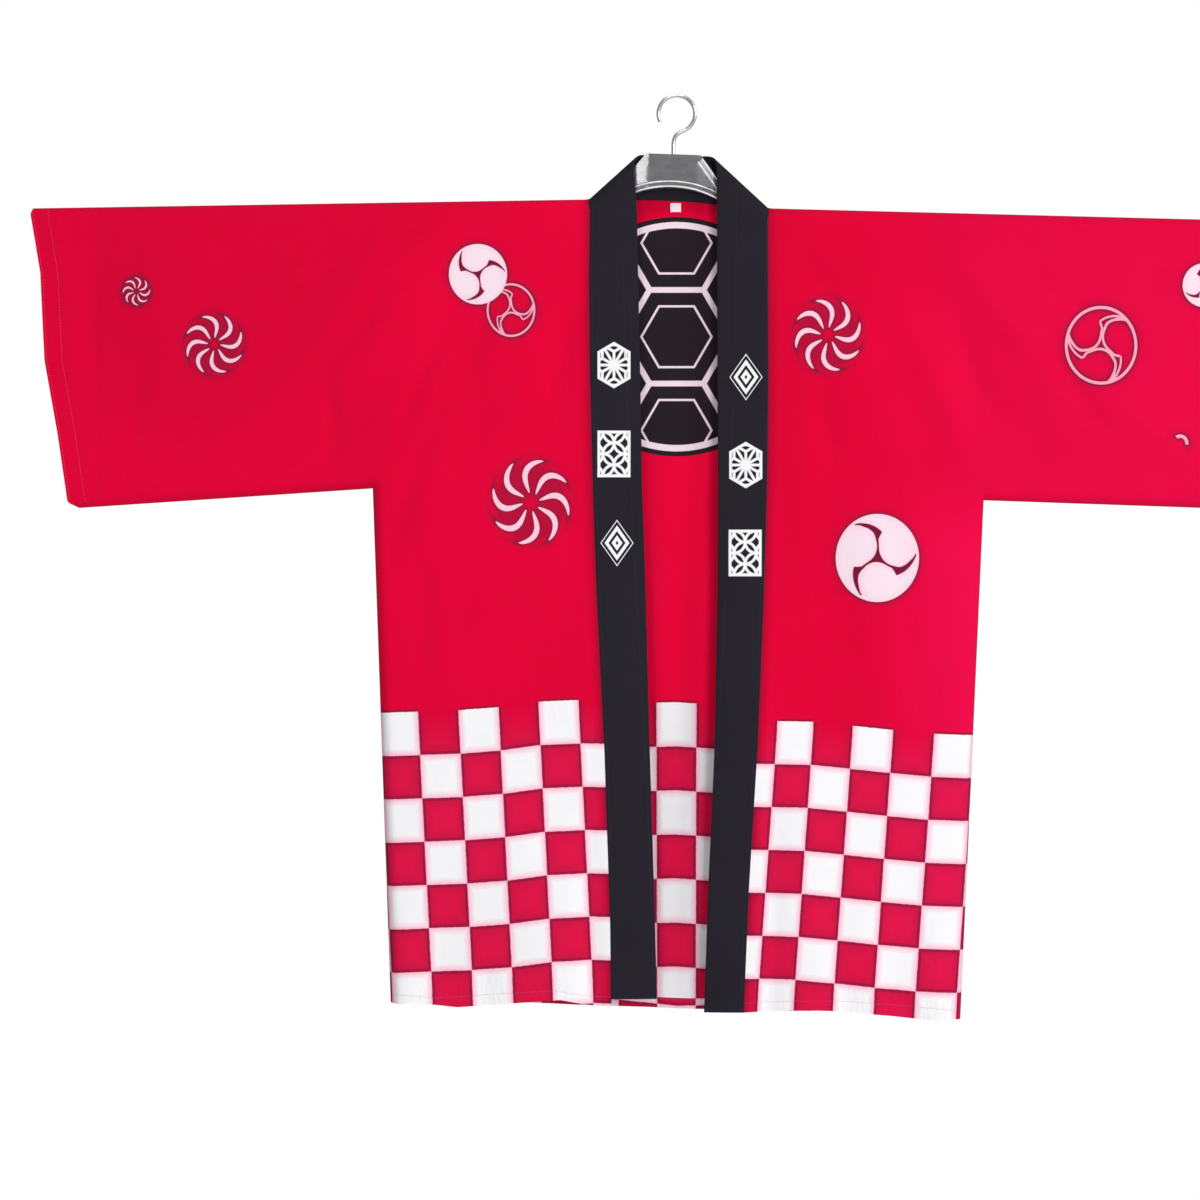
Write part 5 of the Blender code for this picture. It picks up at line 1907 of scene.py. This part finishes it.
# The yoke's rim from its outline in to the panel: how far in, share of the half-thickness.
YOKE_RIM = (
    (0.0, 0.0),
    (0.0, 0.60),
    (0.0003, 0.85),
    (0.0007, 0.985),
    (0.0011, 1.0),
    (0.0015, 0.98),
    (0.0023, 0.915),
    (0.0027, 0.90),
    (0.0056, 0.89),
    (0.0060, 0.88),
    (0.0074, 0.81),
    (0.0078, 0.795),
    (0.0082, 0.79),
)
YOKE_PAINTED_HIGHLIGHTS = ((0.0007, 0.0023), (0.0060, 0.0074))  # how far in lie the rim's two bands that are painted as pale highlight lines
YOKE_PLAIN_TOP = 0.0025  # depth of the straight top edge, which has no rim
YOKE_PLAIN_FLANK = (-0.0200, -0.0340)  # the right flank has none beyond this x and above this z
YOKE_CORNER = 0.0035  # length of outline over which a corner is rounded
YOKE_STEP = 0.0012
# the flanks begin at this reach, slope back from there and end no thinner than this
YOKE_FLANK = 0.0248
YOKE_SLOPE = math.tan(math.radians(11))
YOKE_LEAST = 0.0016
ARCH_POINTS = 17
# the panel's inner points: how many across, the least and the greatest height, and the step
PANEL_COLUMNS = 21
PANEL_ROWS = (-0.070, -0.004, 0.0025)
# drops over which the rim narrows towards the feet, and its share of the width there
YOKE_NARROWING = (-0.044, -0.062)
YOKE_NARROW = 0.35


def yoke_line():
    """The yoke's outline, evenly stepped, as (x, z) from the middle of its top edge."""
    right = [(reach, -drop) for reach, drop in YOKE_OUTLINE]
    arch = []
    for reach in np.linspace(YOKE_ARCH_REACH, 0.0, ARCH_POINTS):
        rise = YOKE_ARCH_RADIUS - math.sqrt(YOKE_ARCH_RADIUS**2 - reach**2)
        arch.append((reach, -YOKE_ARCH_DROP - rise))
    half = right + arch
    ring = half + [(-x, z) for x, z in reversed(half[:-1])]
    points = np.array(ring)
    closed = np.concatenate([points, points[:1]])
    run = np.concatenate([[0.0], np.cumsum(np.linalg.norm(np.diff(closed, axis=0), axis=1))])
    at = np.linspace(0.0, run[-1], int(run[-1] / YOKE_STEP), endpoint=False)
    line = np.stack([np.interp(at, run, closed[:, k]) for k in (0, 1)], -1)
    turns = int(YOKE_CORNER / YOKE_STEP)
    for _ in range(turns):
        line = 0.5 * line + 0.25 * (np.roll(line, 1, 0) + np.roll(line, -1, 0))
    return line


def yoke_depth(x):
    """Half-thickness of the yoke before its rim's shape, less on the flanks."""
    return np.maximum(YOKE_HALF - YOKE_SLOPE * np.maximum(np.abs(x) - YOKE_FLANK, 0.0), YOKE_LEAST)


def fill_panel(bm, border, share):
    """Fills a border with small triangles that follow the yoke's panel, creased at its flanks."""
    outline = [Vector((vert.co.x, vert.co.z)) for vert in border]
    inside = []
    for x in np.linspace(-2 * YOKE_FLANK, 2 * YOKE_FLANK, PANEL_COLUMNS):
        for z in np.arange(*PANEL_ROWS):
            inside.append(Vector((x, z)))
    count = len(outline)
    loop = [(k, (k + 1) % count) for k in range(count)]
    made = delaunay_2d_cdt(outline + inside, loop, [list(range(count))], 1, 1e-6)
    places, _, faces, sources = made[:4]
    verts = []
    for place, source in zip(places, sources):
        known = [k for k in source if k < count]
        if known:
            verts.append(border[known[0]])
        else:
            verts.append(bm.verts.new((place.x, share * float(yoke_depth(place.x)), place.y)))
    for face in faces:
        bm.faces.new([verts[k] for k in face])
    for vert, source in zip(verts, sources):
        if not vert.link_faces:
            bm.verts.remove(vert)


def yoke_piece(finish, worn):
    """The moulded yoke: a stepped rim round a sunk panel, its flanks turned a little back."""
    line = yoke_line()
    ahead = unit(np.roll(line, -1, 0) - np.roll(line, 1, 0))
    inward = np.stack([ahead[:, 1], -ahead[:, 0]], -1)
    x, z = line.T
    area = 0.5 * np.sum(x * np.roll(z, -1) - np.roll(x, -1) * z)
    inward = inward if area < 0 else -inward
    narrow = np.interp(z, YOKE_NARROWING[::-1], (YOKE_NARROW, 1.0))[:, None]
    plain = (x < YOKE_PLAIN_FLANK[0]) & (z > YOKE_PLAIN_FLANK[1])
    rimmed = ((z < -YOKE_PLAIN_TOP) & ~plain).astype(float)
    for _ in range(3):
        rimmed = 0.5 * rimmed + 0.25 * (np.roll(rimmed, 1) + np.roll(rimmed, -1))
    panel = YOKE_RIM[-1][1]
    tallest = panel + (1 - panel) * rimmed
    bm = bmesh.new()
    for front in (-1, 1):
        rows = []
        for inset, share in YOKE_RIM:
            flat = line + inset * narrow * inward
            depth = front * np.minimum(share, tallest) * yoke_depth(flat[:, 0])
            points = np.stack([flat[:, 0], depth, flat[:, 1]], -1)
            rows.append([bm.verts.new(point) for point in points])
        for low, high, (inset, _) in zip(rows, rows[1:], YOKE_RIM):
            # the rim's two bands take the pale finish, painted highlight lines
            painted_lit = any(start <= inset < stop for start, stop in YOKE_PAINTED_HIGHLIGHTS)
            for k in range(len(line)):
                after = (k + 1) % len(line)
                face = bm.faces.new((low[k], low[after], high[after], high[k]))
                face.material_index = int(painted_lit and rimmed[k] > 0.5)
        fill_panel(bm, rows[-1], front * panel)
    bmesh.ops.remove_doubles(bm, verts=bm.verts, dist=1e-6)
    bmesh.ops.recalc_face_normals(bm, faces=bm.faces)
    for face in bm.faces:
        face.smooth = True
    mesh = bpy.data.meshes.new("hanger_yoke_moulding")
    bm.to_mesh(mesh)
    bm.free()
    mesh.materials.append(finish)
    mesh.materials.append(worn)
    mesh.set_sharp_from_angle(angle=math.radians(SHARP_YOKE))
    obj = new_object("hanger_yoke_moulding", mesh)
    obj.location = (YOKE_X, 0, YOKE_TOP)
    obj.rotation_euler = (0, YOKE_LEAN, 0)
    return obj


class HAPPI_OT_hanger(bpy.types.Operator):
    """Builds the hanger's yoke and finishes its arms and hook"""

    bl_idname = "happi.hanger"
    bl_label = "Hanger"

    def execute(self, context):
        shades = coat_colours()
        plastic = moulded_plastic(
            "hanger_plastic_face", shades.plastic, shades.plastic_pale, PLASTIC_ROUGHNESS
        )
        # a pale plastic finish that paints highlight lines on the rim
        worn = moulded_plastic(
            "hanger_plastic_worn", shades.plastic_painted_highlight_dim, shades.plastic_worn, PAINTED_HIGHLIGHT_ROUGHNESS
        )
        yoke = yoke_piece(plastic, worn)
        carry(yoke, "hanger_plastic", "hanger_yoke")
        finishes = {
            "hanger_arm_right": plastic,
            "hanger_arm_left": plastic,
            "hanger_hook": bright_steel("hook_steel_face"),
        }
        for name, finish in finishes.items():
            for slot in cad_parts[name].material_slots:
                slot.material = finish
        return {"FINISHED"}


def soft_light(name, place, size, power, target):
    """An area light that looks at a target and isn't seen itself."""
    data = bpy.data.lights.new(name, "AREA")
    data.shape = "RECTANGLE"
    data.size, data.size_y = size
    data.energy = power
    light = new_object(name, data)
    light.location = place
    light.rotation_euler = (Vector(target) - Vector(place)).to_track_quat("-Z", "Y").to_euler()
    light.visible_camera = False


VIEW_CENTRE = (-0.0793, -0.5196)  # x and z
FRONT_FACE = -0.012  # y of the fronts, where the frame's width is measured
SENSOR = 36.0
FLOOR_RADIUS = 3.6
FLOOR_SIDES = 96
LIT_CENTRE = (0.0, 0.0, -0.5)
# the setting that holds its power, place, width and height of each light
LIGHTS = (
    ("key", (4.5, -3.1, 1.5), (1.7, 1.7)),
    ("front", (1.35, -4.0, -0.5), (1.2, 1.2)),
    ("side", (-0.92, -2.81, 0.29), (0.50, 0.44)),
    ("top", (0.0, -1.3, 1.9), (1.6, 0.25)),
)


class HAPPI_OT_stage(bpy.types.Operator):
    """Builds the pale floor, the surround, the lights and the camera"""

    bl_idname = "happi.stage"
    bl_label = "Stage"

    def execute(self, context):
        settings = context.scene.happi_stage
        scene = context.scene
        bm = bmesh.new()
        bmesh.ops.create_circle(bm, cap_ends=True, segments=FLOOR_SIDES, radius=FLOOR_RADIUS)
        mesh = bpy.data.meshes.new("studio_floor")
        bm.to_mesh(mesh)
        bm.free()
        mesh.materials.append(pale_floor("studio_floor"))
        floor = new_object("studio_floor", mesh)
        floor.location = (0.0, 0.0, settings.floor)
        surround(scene, settings.daylight)
        for name, place, size in LIGHTS:
            soft_light(name + "_light", place, size, getattr(settings, name), LIT_CENTRE)
        data = bpy.data.cameras.new("camera")
        data.sensor_width = SENSOR
        data.lens = SENSOR * (settings.distance + FRONT_FACE) / settings.frame_width
        camera = new_object("camera", data)
        camera.location = (VIEW_CENTRE[0], -settings.distance, VIEW_CENTRE[1])
        camera.rotation_euler = (RIGHT_ANGLE, 0, 0)
        scene.camera = camera
        scene.view_settings.view_transform = "Standard"
        return {"FINISHED"}


def surround(scene, strength):
    """A plain pale surround that lights softly and is seen as white."""
    world = bpy.data.worlds.new("surround")
    world.use_nodes = True
    tree = world.node_tree
    tree.nodes.clear()
    seen = tree.nodes.new("ShaderNodeBackground")
    seen.inputs["Color"].default_value = (1, 1, 1, 1)
    lit = tree.nodes.new("ShaderNodeBackground")
    lit.inputs["Color"].default_value = (1, 1, 1, 1)
    lit.inputs["Strength"].default_value = strength
    path = tree.nodes.new("ShaderNodeLightPath")
    mix = tree.nodes.new("ShaderNodeMixShader")
    out = tree.nodes.new("ShaderNodeOutputWorld")
    tree.links.new(path.outputs["Is Camera Ray"], mix.inputs[0])
    tree.links.new(lit.outputs[0], mix.inputs[1])
    tree.links.new(seen.outputs[0], mix.inputs[2])
    tree.links.new(mix.outputs[0], out.inputs[0])
    scene.world = world


OPERATORS = (
    HAPPI_OT_stage,
    HAPPI_OT_fronts,
    HAPPI_OT_sleeves,
    HAPPI_OT_back,
    HAPPI_OT_band,
    HAPPI_OT_hanger,
)


class HAPPI_PT_panel(bpy.types.Panel):
    bl_idname = "HAPPI_PT_panel"
    bl_label = "Happi coat"
    bl_space_type = "VIEW_3D"
    bl_region_type = "UI"
    bl_category = "Happi coat"

    def draw(self, context):
        for operator in OPERATORS:
            self.layout.operator(operator.bl_idname)
        for group in ("happi_sizes", "happi_colours", "happi_stage"):
            settings = getattr(context.scene, group)
            box = self.layout.box()
            for key in settings.__annotations__:
                box.prop(settings, key)


CLASSES = (CoatSizes, CoatColours, StageSettings, *OPERATORS, HAPPI_PT_panel)


def register():
    for cls in CLASSES:
        bpy.utils.register_class(cls)
    bpy.types.Scene.happi_sizes = bpy.props.PointerProperty(type=CoatSizes)
    bpy.types.Scene.happi_colours = bpy.props.PointerProperty(type=CoatColours)
    bpy.types.Scene.happi_stage = bpy.props.PointerProperty(type=StageSettings)


def unregister():
    del bpy.types.Scene.happi_sizes
    del bpy.types.Scene.happi_colours
    del bpy.types.Scene.happi_stage
    for cls in reversed(CLASSES):
        bpy.utils.unregister_class(cls)


def main():
    register()
    bpy.ops.happi.stage()
    bpy.ops.happi.fronts()
    bpy.ops.happi.sleeves()
    bpy.ops.happi.back()
    bpy.ops.happi.band()
    bpy.ops.happi.hanger()


if __name__ == "__main__":
    main()
